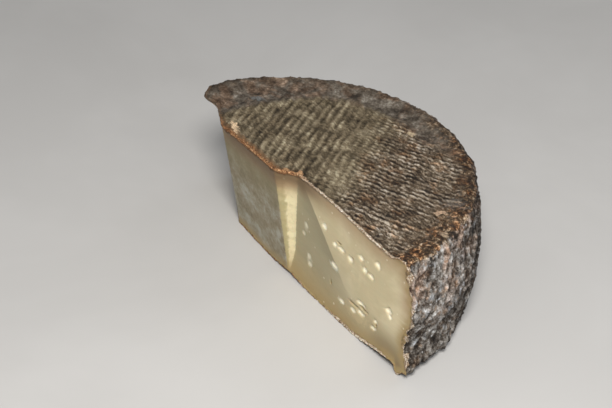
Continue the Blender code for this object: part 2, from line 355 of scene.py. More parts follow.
@dataclass(frozen=True)
class RindForm:
    """Relief of the rind: the top's print and lumps, the lip's lumps and the wall's folds."""

    wheel: WheelForm = WheelForm()
    mat: MatPrint = MatPrint()
    lump_size: float = 24.0
    lump_height: float = 1.1
    dimple_size: float = 6.0
    dimple_height: float = 0.35
    crumb_size: float = 2.1
    grit_size: float = 1.35
    ripple_count: int = 46
    ripple_height: float = 0.35
    fold_lean: float = 0.60
    fold_width: float = 5.2
    fold_length: float = 17.0
    fold_height: float = 2.1
    wrinkle_width: float = 3.4
    wrinkle_length: float = 7.0
    wrinkle_height: float = 1.25
    knob_size: float = 3.0
    knob_height: float = 1.0
    knob_drop: Place = (16.0, 6.0)
    knob_angles: Place = (math.radians(38.0), math.radians(75.0))
    bead_height: float = 0.35
    bumps: tuple[Bump, ...] = (
        Bump((-47.7, 0.7), 7.0, 2.2, 1.1, math.radians(-19.0)),
        Bump((12.5, 83.0), 6.0, 6.0, -1.4),
        Bump((6.0, 77.0), 2.2, 2.0, 1.3),
        Bump((70.9, 44.3), 2.6, 2.2, 0.7),
        Bump((87.4, 32.3), 2.8, 2.2, 0.8),
        Bump((7.8, 4.6), 1.6, 1.3, 0.8),
    )

    def crust(self, x: float, y: float, z: float) -> float:
        """Give the height of the dry crust's crumbs, from about -0.3 to 0.5."""
        crumbs = 0.45 * abs(rough(x, y, z, self.crumb_size))
        return crumbs + 0.35 * rough(x, y, z, self.grit_size) - 0.08

    def bead(self, edge: float, x: float) -> float:
        """Give the height of the bead that the knife left along the top's cut edge."""
        swing = 1.0 + 0.5 * rough(x, 5.0, 2.0, 4.0)
        return self.bead_height * (hill(edge, 0.2, 0.7) * swing - hill(edge, 1.7, 0.7))

    def top(self, x: float, y: float) -> float:
        """Give the height of the top's relief over the wheel's form.

        Args:
            x: Place along the cut.
            y: Place across the wheel.

        Returns:
            The height in millimetres.
        """
        swell = 0.5 * self.lump_height * rough(x, y, self.wheel.height, self.lump_size)
        dimple = self.dimple_height * rough(x, y, 12.0, self.dimple_size)
        lumps = sum(bump.at(x, y) for bump in self.bumps)
        return self.mat.height(x, y) + swell + dimple + 0.55 * self.crust(x, y, 40.0) + lumps

    def lip(self, angle: float, z: float) -> float:
        """Give the lip's knobs, strong beside the near end of the cut and weak behind.

        Args:
            angle: Angle round the wheel's axis.
            z: Height above the floor.

        Returns:
            The height in millimetres.
        """
        x, y = self.wheel.rim_radius * math.cos(angle), self.wheel.rim_radius * math.sin(angle)
        strength = 0.3 + 0.7 * (1.0 - smooth(angle, *self.knob_angles))
        knobs = abs(rough(x, y, z, self.knob_size)) ** 0.8 - 0.35 + 0.6 * self.crust(x, y, z)
        return self.knob_height * strength * knobs

    def folds(self, angle: float, z: float) -> float:
        """Give the height of the wall's folds and wrinkles, 0 in the troughs between them.

        Args:
            angle: Angle round the wheel's axis.
            z: Height above the floor.

        Returns:
            The height in millimetres.
        """
        run = self.wheel.rim_radius * angle
        slant = run - self.fold_lean * z + 3.0 * rough(run, 0.0, z, 12.0)
        wide = noise.noise(Vector((slant / self.fold_width, z / self.fold_length, 5.0)))
        fine = noise.noise(Vector((slant / self.wrinkle_width, z / self.wrinkle_length, 8.0)))
        strength = smooth(rough(run, 4.0, z, 16.0), -0.35, 0.25)
        ridge = strength * max(0.0, 1.0 - abs(wide) / 0.28) ** 1.5
        wrinkle = (1.0 - 0.5 * strength) * max(0.0, 1.0 - abs(fine) / 0.30)
        return self.fold_height * ridge + self.wrinkle_height * wrinkle

    def side(self, angle: float, z: float) -> float:
        """Give how far lumps, folds and crust push the wall out.

        Args:
            angle: Angle round the wheel's axis.
            z: Height above the floor.

        Returns:
            The height in millimetres.
        """
        x, y = self.wheel.rim_radius * math.cos(angle), self.wheel.rim_radius * math.sin(angle)
        lumps = self.lump_height * rough(x, y, z, self.lump_size)
        folds = self.folds(angle, z) - 0.6
        return (lumps + folds + 0.8 * self.crust(x, y, z)) * smooth(z, -2.0, self.wheel.foot_bevel)

    def ripple(self, angle: float, z: float) -> float:
        """Give the scallops that the mat leaves round the lip.

        Args:
            angle: Angle round the wheel's axis.
            z: Height above the floor.

        Returns:
            The height in millimetres.
        """
        shift = 1.2 * rough(angle * 60.0, 0.0, 7.0, 20.0)
        high = smooth(z, 0.7 * self.wheel.height, self.wheel.height)
        return self.ripple_height * math.sin(self.ripple_count * angle + shift) * high


@dataclass(frozen=True)
class Eye:
    """A small hole or crack in the paste, by its place along the cut and above the floor."""

    x: float
    z: float
    width: float = 3.4
    height: float = 2.6
    depth: float = 1.3
    crack: bool = False


@dataclass(frozen=True)
class CutForm:
    """The cut: two knife strokes with a step between them, a crease, a tongue of rind and eyes."""

    height: float = 69.0
    top_stops: tuple[Place, ...] = ((108.0, 3.4), (7.5, 3.4), (-2.9, -4.3), (-55.0, -3.2), (-108.0, 22.0))
    base_stops: tuple[Place, ...] = ((108.0, 3.0), (0.6, 3.3), (-0.8, 3.7), (-54.8, 6.8), (-108.0, 35.7))
    sway: float = 0.5
    sway_length: float = 45.0
    crease_start: Place = (15.6, 62.0)
    crease_end: Place = (55.0, 20.0)
    crease_tilt: float = 0.07
    tongue_reach: float = 6.8
    tongue_place: float = -87.0
    tongue_width: float = 6.0
    tongue_height: float = 67.0
    tongue_thickness: float = 5.5
    eyes: tuple[Eye, ...] = (
        Eye(31.2, 50.9, 4.4, 3.2, 0.6),
        Eye(40.4, 45.6, 3.4, 2.4, 0.7),
        Eye(45.6, 45.5, 5.0, 2.6),
        Eye(53.4, 44.5, 3.8, 3.2),
        Eye(61.9, 50.5, 4.0, 3.0),
        Eye(65.0, 45.4, 3.8, 3.2),
        Eye(70.4, 44.8, 4.2, 2.6),
        Eye(74.9, 54.6, 3.8, 3.6),
        Eye(84.8, 33.4, 4.6, 3.4),
        Eye(86.2, 30.4, 2.6, 2.4, 0.9),
        Eye(64.2, 23.4, 6.4, 3.0),
        Eye(64.0, 17.8, 6.0, 2.6),
        Eye(57.5, 15.3, 4.6, 2.6, 0.7),
        Eye(47.6, 13.9, 4.6, 2.6, 0.7),
        Eye(74.4, 15.2, 4.4, 2.6),
        Eye(75.8, 19.9, 3.0, 2.4),
        Eye(41.0, 32.6, 5.2, 2.6, 0.6),
        Eye(16.2, 21.9, 3.4, 3.2, 0.5),
        Eye(16.8, 16.9, 3.6, 3.0, 0.6),
        Eye(14.3, 41.1, 2.6, 3.0, 0.4),
        Eye(11.8, 34.3, 2.6, 3.2, 0.5),
        Eye(58.0, 19.6, 8.0, 0.9, 1.8, True),
        Eye(66.0, 21.4, 7.0, 1.0, 1.8, True),
        Eye(76.3, 17.7, 1.7, 1.4, 1.8, True),
        Eye(43.7, 48.2, 4.0, 0.9, 1.2, True),
        Eye(54.8, 46.0, 2.2, 0.9, 1.2, True),
        Eye(85.2, 35.0, 2.4, 0.9, 1.2, True),
        Eye(37.3, 19.6, 1.0, 4.0, 0.9, True),
    )

    def stops(self, z: float) -> list[Place]:
        """Give the cut's corners in plan at one height, from the near end to the far end.

        Args:
            z: Height above the floor.

        Returns:
            The corners.
        """
        share = min(max(z / self.height, 0.0), 1.0)
        pairs = zip(self.top_stops, self.base_stops)
        return [(bx + (tx - bx) * share, by + (ty - by) * share) for (tx, ty), (bx, by) in pairs]

    def below_crease(self, x: float, z: float) -> float:
        """Give the distance below the crease's line, negative above it.

        Args:
            x: Place along the cut.
            z: Height above the floor.

        Returns:
            The distance in millimetres.
        """
        (start_x, start_z), (end_x, end_z) = self.crease_start, self.crease_end
        run_x, run_z = end_x - start_x, end_z - start_z
        return (run_z * (x - start_x) - run_x * (z - start_z)) / math.hypot(run_x, run_z)

    def y(self, x: float, z: float) -> float:
        """Give the place of the cut across the wheel, without eyes.

        Args:
            x: Place along the cut.
            z: Height above the floor.

        Returns:
            The place across the wheel.
        """
        stops = self.stops(z)
        y = stops[-1][1]
        for (near_x, near_y), (far_x, far_y) in zip(stops, stops[1:]):
            if far_x <= x <= near_x:
                y = near_y + (far_y - near_y) * (near_x - x) / (near_x - far_x)
        fade = smooth(x, stops[2][0], stops[1][0]) * smooth(z, 0.0, self.crease_end[1])
        crease = self.crease_tilt * max(self.below_crease(x, z), 0.0) * fade
        sway = self.sway * rough(x, 0.0, z, self.sway_length)
        tongue = hill(x, self.tongue_place, self.tongue_width)
        tongue *= hill(z, self.tongue_height, self.tongue_thickness)
        return y + crease + sway - self.tongue_reach * tongue

    def eye(self, x: float, z: float) -> tuple[float, float]:
        """Give how deep in an eye or a crack a place of the cut lies.

        Args:
            x: Place along the cut.
            z: Height above the floor.

        Returns:
            The depth in millimetres, and a tone from 1 in an eye, paler paste with painted light, to -1 in a
            crack, darkened with painted shade.
        """
        deep, tone = 0.0, 0.0
        for eye in self.eyes:
            dx, dz = (x - eye.x) / (0.5 * eye.width), (z - eye.z) / (0.5 * eye.height)
            if abs(dx) > 2.0 or abs(dz) > 2.0:
                continue
            ragged = 1.0 + 0.45 * rough(x, eye.x, z, 1.6)
            inside = 1.0 - smooth(math.hypot(dx, dz) * ragged, 0.3, 1.5)
            deep = max(deep, eye.depth * inside)
            if eye.crack:
                tone = min(tone, -inside)
            elif tone >= 0.0:
                tone = max(tone, inside)
        return deep, tone

    def chatter(self, x: float, z: float) -> float:
        """Give the knife's ripples: plain across the step, faint over the rest of the cut.

        Args:
            x: Place along the cut.
            z: Height above the floor.

        Returns:
            The depth in millimetres.
        """
        stops = self.stops(z)
        near_x, far_x = stops[1][0], stops[2][0]
        on_step = smooth(x, far_x - 1.5, far_x) * (1.0 - smooth(x, near_x, near_x + 2.0))
        ripple = math.sin(2.0 * math.pi * (z + 0.25 * x + 2.5 * rough(x, 0.0, z, 8.0)) / 5.6)
        return (0.03 + 0.09 * on_step) * ripple * (1.0 + rough(x, 6.0, z, 7.0))


@dataclass
class Patchwork:
    """A mesh in the making: points, faces, finishes and the values on the vertices."""

    points: list[Point] = field(default_factory=list)
    faces: list[tuple[int, ...]] = field(default_factory=list)
    finishes: list[int] = field(default_factory=list)
    sharp: list[tuple[int, int]] = field(default_factory=list)
    values: dict[Value, dict[int, float]] = field(default_factory=lambda: {value: {} for value in Value})

    def add_point(self, point: Point, values: dict[Value, float]) -> int:
        """Add a point with its values.

        Args:
            point: Place in millimetres.
            values: The values known there. Those left out are 0.

        Returns:
            The point's number.
        """
        self.points.append(point)
        rank = len(self.points) - 1
        for value, amount in values.items():
            self.values[value][rank] = amount
        return rank

    def add_face(self, corners: Sequence[int], finish: Finish) -> None:
        """Add a face, its corners anticlockwise from outside."""
        self.faces.append(tuple(corners))
        self.finishes.append(finish.value)

    def fill(self, border: Sequence[int], plan: Callable[[Point], Place], inner: Sequence[Place],
             lift: Callable[[float, float], tuple[Point, dict[Value, float]]], finish: Finish,
             upward: bool) -> None:
        """Fill a closed loop of points with triangles through inner places.

        Args:
            border: The loop, by its points' numbers.
            plan: Gives a point's place in the plane of the fill.
            inner: Places in that plane to put points at.
            lift: Gives the point and the values for an inner place.
            finish: Finish of the faces.
            upward: Whether the faces turn anticlockwise in the plane.
        """
        ring = [Vector(plan(self.points[rank])) for rank in border]
        places = ring + [Vector(place) for place in inner]
        edges = [(rank, (rank + 1) % len(ring)) for rank in range(len(ring))]
        result = delaunay_2d_cdt(places, edges, [list(range(len(ring)))], 1, 1e-7)
        numbers: dict[int, int] = {}
        for triangle in result[2]:
            sources = [result[3][corner][0] for corner in triangle]
            a, b, c = (places[source] for source in sources)
            if ((b - a).cross(c - a) > 0.0) != upward:
                sources.reverse()
            corners = []
            for source in sources:
                if source not in numbers:
                    if source < len(border):
                        numbers[source] = border[source]
                    else:
                        numbers[source] = self.add_point(*lift(*places[source]))
                corners.append(numbers[source])
            self.add_face(corners, finish)

    def mark_sharp(self, loop: Sequence[int]) -> None:
        """Keep the edges of a closed loop sharp."""
        self.sharp += [tuple(sorted(pair)) for pair in zip(loop, [*loop[1:], loop[0]])]

    def build(self, name: str) -> bpy.types.Object:
        """Write the mesh, in metres, as an object in the scene.

        Args:
            name: Name of the object and its mesh.

        Returns:
            The new object, smooth but for its sharp edges.
        """
        mesh = bpy.data.meshes.new(name)
        mesh.from_pydata([[MM * part for part in point] for point in self.points], [], self.faces)
        mesh.polygons.foreach_set("material_index", self.finishes)
        mesh.shade_smooth()
        for value, amounts in self.values.items():
            layer = mesh.attributes.new(value.value, "FLOAT", "POINT")
            layer.data.foreach_set("value", [amounts.get(rank, 0.0) for rank in range(len(self.points))])
        sharp = set(self.sharp)
        layer = mesh.attributes.new("sharp_edge", "BOOLEAN", "EDGE")
        layer.data.foreach_set("value", [tuple(sorted(edge.vertices)) in sharp for edge in mesh.edges])
        made = bpy.data.objects.new(name, mesh)
        bpy.context.scene.collection.objects.link(made)
        return made


def lattice(low: Place, high: Place, step: float, keep: Callable[[float, float, bool], bool]) -> list[Place]:
    """Give the places of a triangular lattice that pass a test.

    Args:
        low: Lowest corner of the area.
        high: Highest corner of the area.
        step: Distance between neighbours.
        keep: Tells whether a place stays, also told whether it belongs to the lattice of twice the step.

    Returns:
        The places that stay.
    """
    rise = step * math.sqrt(0.75)
    places = []
    for row in range(int((high[1] - low[1]) / rise) + 1):
        b = low[1] + rise * row
        for column in range(int((high[0] - low[0]) / step) + 1):
            a = low[0] + step * (column + 0.5 * (row % 2))
            coarse = row % 2 == 0 and (column + row // 2) % 2 == 0
            if keep(a, b, coarse):
                places.append((a, b))
    return places


@dataclass
class CheeseHalf:
    """The half wheel: rind over the top, the wall and the underside, and paste in the cut."""

    rind: RindForm = RindForm()
    cut: CutForm = CutForm()
    near_reach: float = 102.84
    back_reach: float = 101.45
    side_step: float = 0.80
    lip_step: float = 0.75
    top_step: float = 0.66
    edge_step: float = 0.62
    cut_step: float = 0.62
    base_step: float = 1.6
    fine_depth: float = 3.6
    corner_rows: int = 9
    foot_rows: int = 8
    ragged: float = 0.35
    edge_fade: Place = (-0.5, 2.5)
    sole_print: float = 0.35
    sole_wall: float = 0.15
    rind_thickness: float = 1.7
    patches: Patchwork = field(default_factory=Patchwork)

    @property
    def wheel(self) -> WheelForm:
        """The wheel's round form."""
        return self.rind.wheel

    def axis(self) -> Vector:
        """Give the foot of the wheel's axis in the frame, in metres."""
        _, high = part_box(NODE)
        return Vector((high[0] - self.near_reach * MM, high[1] - self.back_reach * MM, 0.0))

    def profile(self, angle: float) -> list[tuple[float, float, float]]:
        """Give the rind's profile at one angle, from inside the lip to the foot.

        Args:
            angle: Angle round the wheel's axis.

        Returns:
            Radius, height and how far the place belongs to the wall (0 on the top, 1 on the wall).
        """
        wheel = self.wheel
        rows = []
        count = math.ceil((wheel.lip_radius - wheel.lip_start) / self.lip_step)
        for step in range(count):
            radius = wheel.lip_start + (wheel.lip_radius - wheel.lip_start) * step / count
            rows.append((radius, wheel.top(radius), 0.0))
        shoulder = wheel.shoulder
        reach = wheel.wall(shoulder, angle) - wheel.lip_radius
        for step in range(self.corner_rows):
            turn = 0.5 * math.pi * step / self.corner_rows
            radius = wheel.lip_radius + reach * math.sin(turn)
            z = shoulder + wheel.lip_drop * math.cos(turn)
            rows.append((radius, z, smooth(step, 0.0, self.corner_rows)))
        count = math.ceil((shoulder - wheel.foot_bevel) / self.side_step)
        for step in range(count):
            z = shoulder + (wheel.foot_bevel - shoulder) * step / count
            rows.append((wheel.wall(z, angle), z, 1.0))
        reach = wheel.wall(wheel.foot_bevel, angle) - wheel.foot_radius
        for step in range(self.foot_rows + 1):
            share = 1.0 - step / self.foot_rows
            rows.append((wheel.foot_radius + reach * share, wheel.foot_bevel * share, 1.0))
        return rows

    def end_angle(self, radius: float, z: float, near: bool) -> float:
        """Give the angle at which the rind meets the cut at its near or far end.

        Args:
            radius: Distance from the wheel's axis.
            z: Height above the floor.
            near: Whether it is the near end.

        Returns:
            The angle round the wheel's axis.
        """
        angle = 0.0 if near else math.pi
        for _ in range(12):
            tilt = math.asin(self.cut.y(radius * math.cos(angle), z) / radius)
            angle = tilt if near else math.pi - tilt
        return angle

    def rind_values(self, x: float, y: float, wall: float, relief: float, edge: float) -> dict[Value, float]:
        """Gather the values that the rind's finish reads at a place.

        Args:
            x: Place along the cut.
            y: Place across the wheel.
            wall: How far the place belongs to the wall, from 0 to 1.
            relief: Height of the relief.
            edge: Distance from the cut.

        Returns:
            The values by their names.
        """
        mat = self.rind.mat
        return {
            Value.RIB: mat.rib_phase(x, y),
            Value.WEAVE: mat.weave_phase(x, y),
            Value.SHARE: mat.share(x, y),
            Value.WALL: wall,
            Value.RELIEF: relief,
            Value.EDGE: edge,
        }

    def add_side(self) -> list[list[int]]:
        """Add the lip, the wall and the foot.

        Returns:
            Rows of points from inside the lip down to the sole, each from the near end to the far end.
        """
        wheel = self.wheel
        near = self.profile(0.0)
        far = self.profile(math.pi)
        columns = math.ceil(math.pi * wheel.waist_radius / self.side_step)
        grid: list[list[int]] = [[] for _ in near]
        starts = [self.end_angle(radius, z, True) for radius, z, _ in near]
        ends = [self.end_angle(radius, z, False) for radius, z, _ in far]
        for column in range(columns + 1):
            share = column / columns
            profile = self.profile(starts[0] + (ends[0] - starts[0]) * share)
            for rank, (radius, z, wall) in enumerate(profile):
                angle = starts[rank] + (ends[rank] - starts[rank]) * share
                before = profile[max(rank - 1, 0)]
                after = profile[min(rank + 1, len(profile) - 1)]
                run, drop = after[0] - before[0], before[1] - after[1]
                length = math.hypot(run, drop)
                edge = wheel.rim_radius * min(angle - starts[rank], ends[rank] - angle)
                folds = self.rind.folds(angle, z)
                x, y = radius * math.cos(angle), radius * math.sin(angle)
                knobs = self.rind.lip(angle, z) * smooth(radius, wheel.lip_start, wheel.lip_radius)
                knobs *= smooth(z, *(wheel.height - drop for drop in self.rind.knob_drop))
                lift = knobs + (1.0 - wall) * self.rind.top(x, y) + wall * self.rind.side(angle, z)
                lift += wall * self.rind.ripple(angle, z)
                radius += lift * drop / length
                z = max(z + lift * run / length, 0.0)
                relief = wall * (folds - 0.5) + (1.0 - wall) * knobs
                point = (radius * math.cos(angle), radius * math.sin(angle), z)
                grid[rank].append(self.patches.add_point(point, self.rind_values(x, y, wall, relief, edge)))
        for upper, lower in zip(grid, grid[1:]):
            for column in range(columns):
                corners = (upper[column], lower[column], lower[column + 1], upper[column + 1])
                self.patches.add_face(corners, Finish.RIND)
        return grid

    def edge_places(self, stops: list[Place], first: float, last: float) -> list[float]:
        """Give places along the cut from one end to the other, through each change of direction.

        Args:
            stops: The cut's corners.
            first: Place of the near end.
            last: Place of the far end.

        Returns:
            The places between the two ends, without them.
        """
        marks = [first] + [x for x, _ in stops[1:-1]] + [last]
        places = []
        for near, far in zip(marks, marks[1:]):
            count = max(1, round((near - far) / self.edge_step))
            places += [near + (far - near) * step / count for step in range(count)]
        return places[1:]

    def ragged_y(self, x: float, z: float) -> float:
        """Give the place of the cut's ragged edge across the wheel."""
        return self.cut.y(x, z) + self.ragged * (rough(x, 3.0, z, 2.4) + 0.6 * rough(x, 9.0, z, 6.0))

    def top_point(self, x: float, y: float) -> tuple[Point, dict[Value, float]]:
        """Give a point of the top and its values.

        Args:
            x: Place along the cut.
            y: Place across the wheel.

        Returns:
            The point and its values.
        """
        edge = y - self.cut.y(x, self.wheel.height)
        relief = self.rind.top(x, y) * smooth(edge, *self.edge_fade)
        z = self.wheel.top(math.hypot(x, y)) + relief + self.rind.bead(edge, x)
        return (x, y, z), self.rind_values(x, y, 0.0, 0.0, edge)

    def base_point(self, x: float, y: float) -> tuple[Point, dict[Value, float]]:
        """Give a point of the underside, which carries a flattened print, and its values.

        Args:
            x: Place along the cut.
            y: Place across the wheel.

        Returns:
            The point and its values.
        """
        radius = math.hypot(x, y)
        clear = smooth(self.wheel.base(radius), 0.0, 1.0)
        z = self.wheel.base(radius) + clear * self.sole_print * (self.rind.mat.height(x, y) + 0.5)
        edge = y - self.cut.y(x, 0.0)
        return (x, y, z), self.rind_values(x, y, self.sole_wall, 0.0, edge)

    def add_top_edge(self, first: int, last: int) -> list[int]:
        """Add the cut's upper edge between the two ends of the lip's inner row.

        Args:
            first: First point of the row that the edge joins.
            last: Last point of the row that the edge joins.

        Returns:
            The edge's points, from the near end to the far end.
        """
        height = self.wheel.height
        places = self.edge_places(self.cut.stops(height), self.patches.points[first][0],
                                  self.patches.points[last][0])
        return [self.patches.add_point(*self.top_point(x, self.ragged_y(x, height))) for x in places]

    def add_base_edge(self, first: int, last: int) -> list[int]:
        """Add the cut's lower edge between the two ends of the sole.

        Args:
            first: First point of the row that the edge joins.
            last: Last point of the row that the edge joins.

        Returns:
            The edge's points, from the near end to the far end.
        """
        places = self.edge_places(self.cut.stops(0.0), self.patches.points[first][0],
                                  self.patches.points[last][0])
        return [self.patches.add_point(*self.base_point(x, self.ragged_y(x, 0.0))) for x in places]

    def depth(self, x: float, z: float) -> float:
        """Give how deep a place of the cut lies under the nearest rind, negative outside.

        Args:
            x: Place along the cut.
            z: Height above the floor.

        Returns:
            The depth in millimetres.
        """
        wheel = self.wheel
        y = self.cut.y(x, z)
        radius = math.hypot(x, y)
        angle = 0.0 if x > 0.0 else math.pi
        under_top = wheel.top(radius) + self.rind.bead(0.0, x) - z
        over_base = z - wheel.base(radius)
        beside_wall = wheel.wall(z, angle) + self.rind.side(angle, z) - radius
        depth = min(under_top, over_base, beside_wall)
        reach = wheel.wall(wheel.shoulder, angle) - wheel.lip_radius
        if radius > wheel.lip_radius and z > wheel.shoulder:
            share = math.hypot((radius - wheel.lip_radius) / reach, (z - wheel.shoulder) / wheel.lip_drop)
            depth = min(depth, (1.0 - share) * wheel.lip_drop)
        bevel_reach = wheel.wall(wheel.foot_bevel, angle) - wheel.foot_radius
        if z < wheel.foot_bevel and radius > wheel.foot_radius:
            depth = min(depth, (z - (radius - wheel.foot_radius) * wheel.foot_bevel / bevel_reach) * 0.8)
        return depth

    def cut_point(self, x: float, z: float) -> tuple[Point, dict[Value, float]]:
        """Give a point of the cut face and its values: rind standing proud, paste with eyes.

        Args:
            x: Place along the cut.
            z: Height above the floor.

        Returns:
            The point and its values.
        """
        depth = self.depth(x, z)
        eye_depth, eye = self.cut.eye(x, z)
        inner = smooth(depth, 0.5 * self.rind_thickness, 1.4 * self.rind_thickness)
        bead = 0.55 + 0.30 * rough(x, 0.0, z, 4.0) + 0.30 * rough(x, 0.0, z, 1.5)
        proud = bead * hill(depth, 0.25 * self.rind_thickness, 0.42 * self.rind_thickness)
        drag = self.cut.chatter(x, z) + 0.05 * rough(x, 0.0, 0.2 * z, 2.2)
        y = self.cut.y(x, z) + (eye_depth + drag) * inner - proud
        return (x, y, z), {Value.DEPTH: max(depth, 0.0), Value.EYE: eye,
                           Value.CREASE: self.cut.below_crease(x, z)}

    def keep_cut(self, x: float, z: float, coarse: bool) -> bool:
        """Tell whether a place of the lattice on the cut stays.

        Args:
            x: Place along the cut.
            z: Height above the floor.
            coarse: Whether it belongs to the coarser lattice too.

        Returns:
            Whether it stays.
        """
        depth = self.depth(x, z)
        if depth < 0.55 * self.cut_step:
            return False
        near_eye = any(abs(x - eye.x) < eye.width and abs(z - eye.z) < eye.height for eye in self.cut.eyes)
        return coarse or depth < self.fine_depth or near_eye

    def build(self) -> bpy.types.Object:
        """Build the closed mesh.

        Returns:
            The half wheel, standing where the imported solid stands.
        """
        wheel, patches = self.wheel, self.patches
        grid = self.add_side()
        crest, sole = grid[0], grid[-1]
        top_edge = self.add_top_edge(crest[0], crest[-1])
        base_edge = self.add_base_edge(sole[0], sole[-1])
        reach = wheel.rim_radius + 3.0
        gap = 0.6 * self.top_step

        def on_top(x: float, y: float, _: bool) -> bool:
            """Tell whether a place lies on the top inside the lip."""
            inside = math.hypot(x, y) < wheel.lip_start - gap
            return inside and y > self.ragged_y(x, wheel.height) + gap

        inner = lattice((-reach, -8.0), (reach, reach), self.top_step, on_top)
        border = crest + top_edge[::-1]
        patches.fill(border, lambda point: point[:2], inner, self.top_point, Finish.RIND, True)

        def on_base(x: float, y: float, _: bool) -> bool:
            """Tell whether a place lies on the underside."""
            inside = math.hypot(x, y) < wheel.foot_radius - 0.5 * self.base_step
            return inside and y > self.ragged_y(x, 0.0) + 0.5 * self.base_step

        inner = lattice((-reach, 0.0), (reach, reach), self.base_step, on_base)
        border = sole + base_edge[::-1]
        patches.fill(border, lambda point: point[:2], inner, self.base_point, Finish.RIND, False)

        near_end = [row[0] for row in grid]
        far_end = [row[-1] for row in grid]
        rim = near_end[::-1] + top_edge + far_end + base_edge[::-1]
        inner = lattice((-reach, 0.0), (reach, wheel.height + 2.0), self.cut_step, self.keep_cut)
        patches.fill(rim, lambda point: (point[0], point[2]), inner, self.cut_point, Finish.PASTE, True)
        patches.mark_sharp(rim)

        made = patches.build("cheese_half")
        made.location = self.axis()
        made.data.materials.append(RindFinish().build())
        made.data.materials.append(PasteFinish().build())
        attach(made, "root")
        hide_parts(NODE)
        return made


@dataclass(frozen=True)
class Mark:
    """A coloured mark, by its place on the top or on the cut."""

    place: Place
    length: float
    width: float
    colour: Colour
    strength: float = 0.9
    turn: float = 0.0
    ragged: float = 2.2


class Graph:
    """A node tree in the making, with short calls for its usual nodes."""

    def __init__(self, tree: bpy.types.NodeTree) -> None:
        """Start from an empty tree."""
        self.tree = tree
        tree.nodes.clear()

    def feed(self, socket: Socket, source: object) -> None:
        """Link a source to an input socket, or set it as the socket's plain value.

        Args:
            socket: The input socket.
            source: A socket, a number, a vector, or a colour without its fourth part.
        """
        if isinstance(source, Socket):
            self.tree.links.new(source, socket)
        elif socket.type == "RGBA":
            socket.default_value = (*source, 1.0)
        else:
            socket.default_value = source

    def node(self, kind: str, inputs: dict[str | int, object] | None = None,
             **settings: object) -> bpy.types.Node:
        """Add a node, its settings first and then what its inputs get.

        Args:
            kind: Blender's name for the node.
            inputs: What each input socket gets: a socket to link, or a plain value.
            settings: Properties of the node.

        Returns:
            The new node.
        """
        made = self.tree.nodes.new(kind)
        for name, setting in settings.items():
            setattr(made, name, setting)
        for name, source in (inputs or {}).items():
            self.feed(made.inputs[name], source)
        return made

    def effect(self, tree: bpy.types.NodeTree, **inputs: object) -> Socket:
        """Place a shared effect with its own values, and give what it puts out."""
        return self.node("ShaderNodeGroup", inputs, node_tree=tree).outputs[0]

    def value(self, name: Value) -> Socket:
        """Read a value kept on the vertices."""
        return self.node("ShaderNodeAttribute", attribute_name=name.value).outputs["Fac"]

    def math(self, operation: str, *sources: object) -> Socket:
        """Add a Math node over one to three sockets or numbers."""
        return self.node("ShaderNodeMath", dict(enumerate(sources)), operation=operation).outputs[0]

    def vector(self, operation: str, *sources: object) -> Socket:
        """Add a Vector Math node, which gives a number for a length and otherwise a vector."""
        made = self.node("ShaderNodeVectorMath", dict(enumerate(sources)), operation=operation)
        return made.outputs["Value" if operation == "LENGTH" else "Vector"]

    def total(self, first: object, *others: object) -> Socket:
        """Add up sockets and numbers.

        Args:
            first: First socket or number.
            others: The rest of them.

        Returns:
            The sum.
        """
        for other in others:
            first = self.math("ADD", first, other)
        return first

    def times(self, first: object, *others: object) -> Socket:
        """Multiply sockets and numbers.

        Args:
            first: First socket or number.
            others: The rest of them.

        Returns:
            The product.
        """
        for other in others:
            first = self.math("MULTIPLY", first, other)
        return first

    def rise(self, source: object, start: object, end: object, low: float = 0.0, high: float = 1.0) -> Socket:
        """Map a value smoothly from start..end to low..high, level outside."""
        inputs = {"Value": source, "From Min": start, "From Max": end, "To Min": low, "To Max": high}
        return self.node("ShaderNodeMapRange", inputs, interpolation_type="SMOOTHSTEP").outputs["Result"]

    def mix(self, share: object, first: object, second: object, blend: str = "MIX") -> Socket:
        """Mix two colours by a share, 0 for the first and 1 for the second."""
        inputs = {0: share, 6: first, 7: second}
        return self.node("ShaderNodeMix", inputs, data_type="RGBA", blend_type=blend).outputs[2]

    def tint(self, share: object, tone: object, colour: object) -> Socket:
        """Multiply a tone by a colour, by a share."""
        return self.mix(share, tone, colour, "MULTIPLY")

    def noise(self, vector: Socket, size: float, detail: float = 2.0, roughness: float = 0.5) -> Socket:
        """Add noise, from 0 to 1, whose lumps have the given size in millimetres."""
        inputs = {"Vector": vector, "Scale": 1.0 / size, "Detail": detail, "Roughness": roughness}
        return self.node("ShaderNodeTexNoise", inputs).outputs["Fac"]

    def lumps(self, vector: Socket, size: float, gain: float, detail: float = 2.0,
              roughness: float = 0.5) -> Socket:
        """Give noise that swings about 0, times a gain."""
        return self.times(self.math("SUBTRACT", self.noise(vector, size, detail, roughness), 0.5), gain)

    def ramp(self, source: Socket, scale: Scale) -> Socket:
        """Colour a value by a scale of colours.

        Args:
            source: Socket to read.
            scale: Colours and the values at which they stand.

        Returns:
            The colour.
        """
        made = self.node("ShaderNodeValToRGB", {"Fac": source})
        stops = made.color_ramp.elements
        for at, _ in scale[1:-1]:
            stops.new(at)
        for stop, (at, colour) in zip(stops, scale):
            stop.position = at
            stop.color = (*colour, 1.0)
        return made.outputs["Color"]

    def stretch(self, vector: Socket, turn: float, length: float, width: float) -> Socket:
        """Turn a plan vector and shrink it along and across, so that noise on it becomes streaks."""
        inputs = {"Vector": vector, "Rotation": (0.0, 0.0, -turn), "Scale": (1.0 / length, 1.0 / width, 1.0)}
        return self.node("ShaderNodeMapping", inputs, vector_type="POINT").outputs["Vector"]


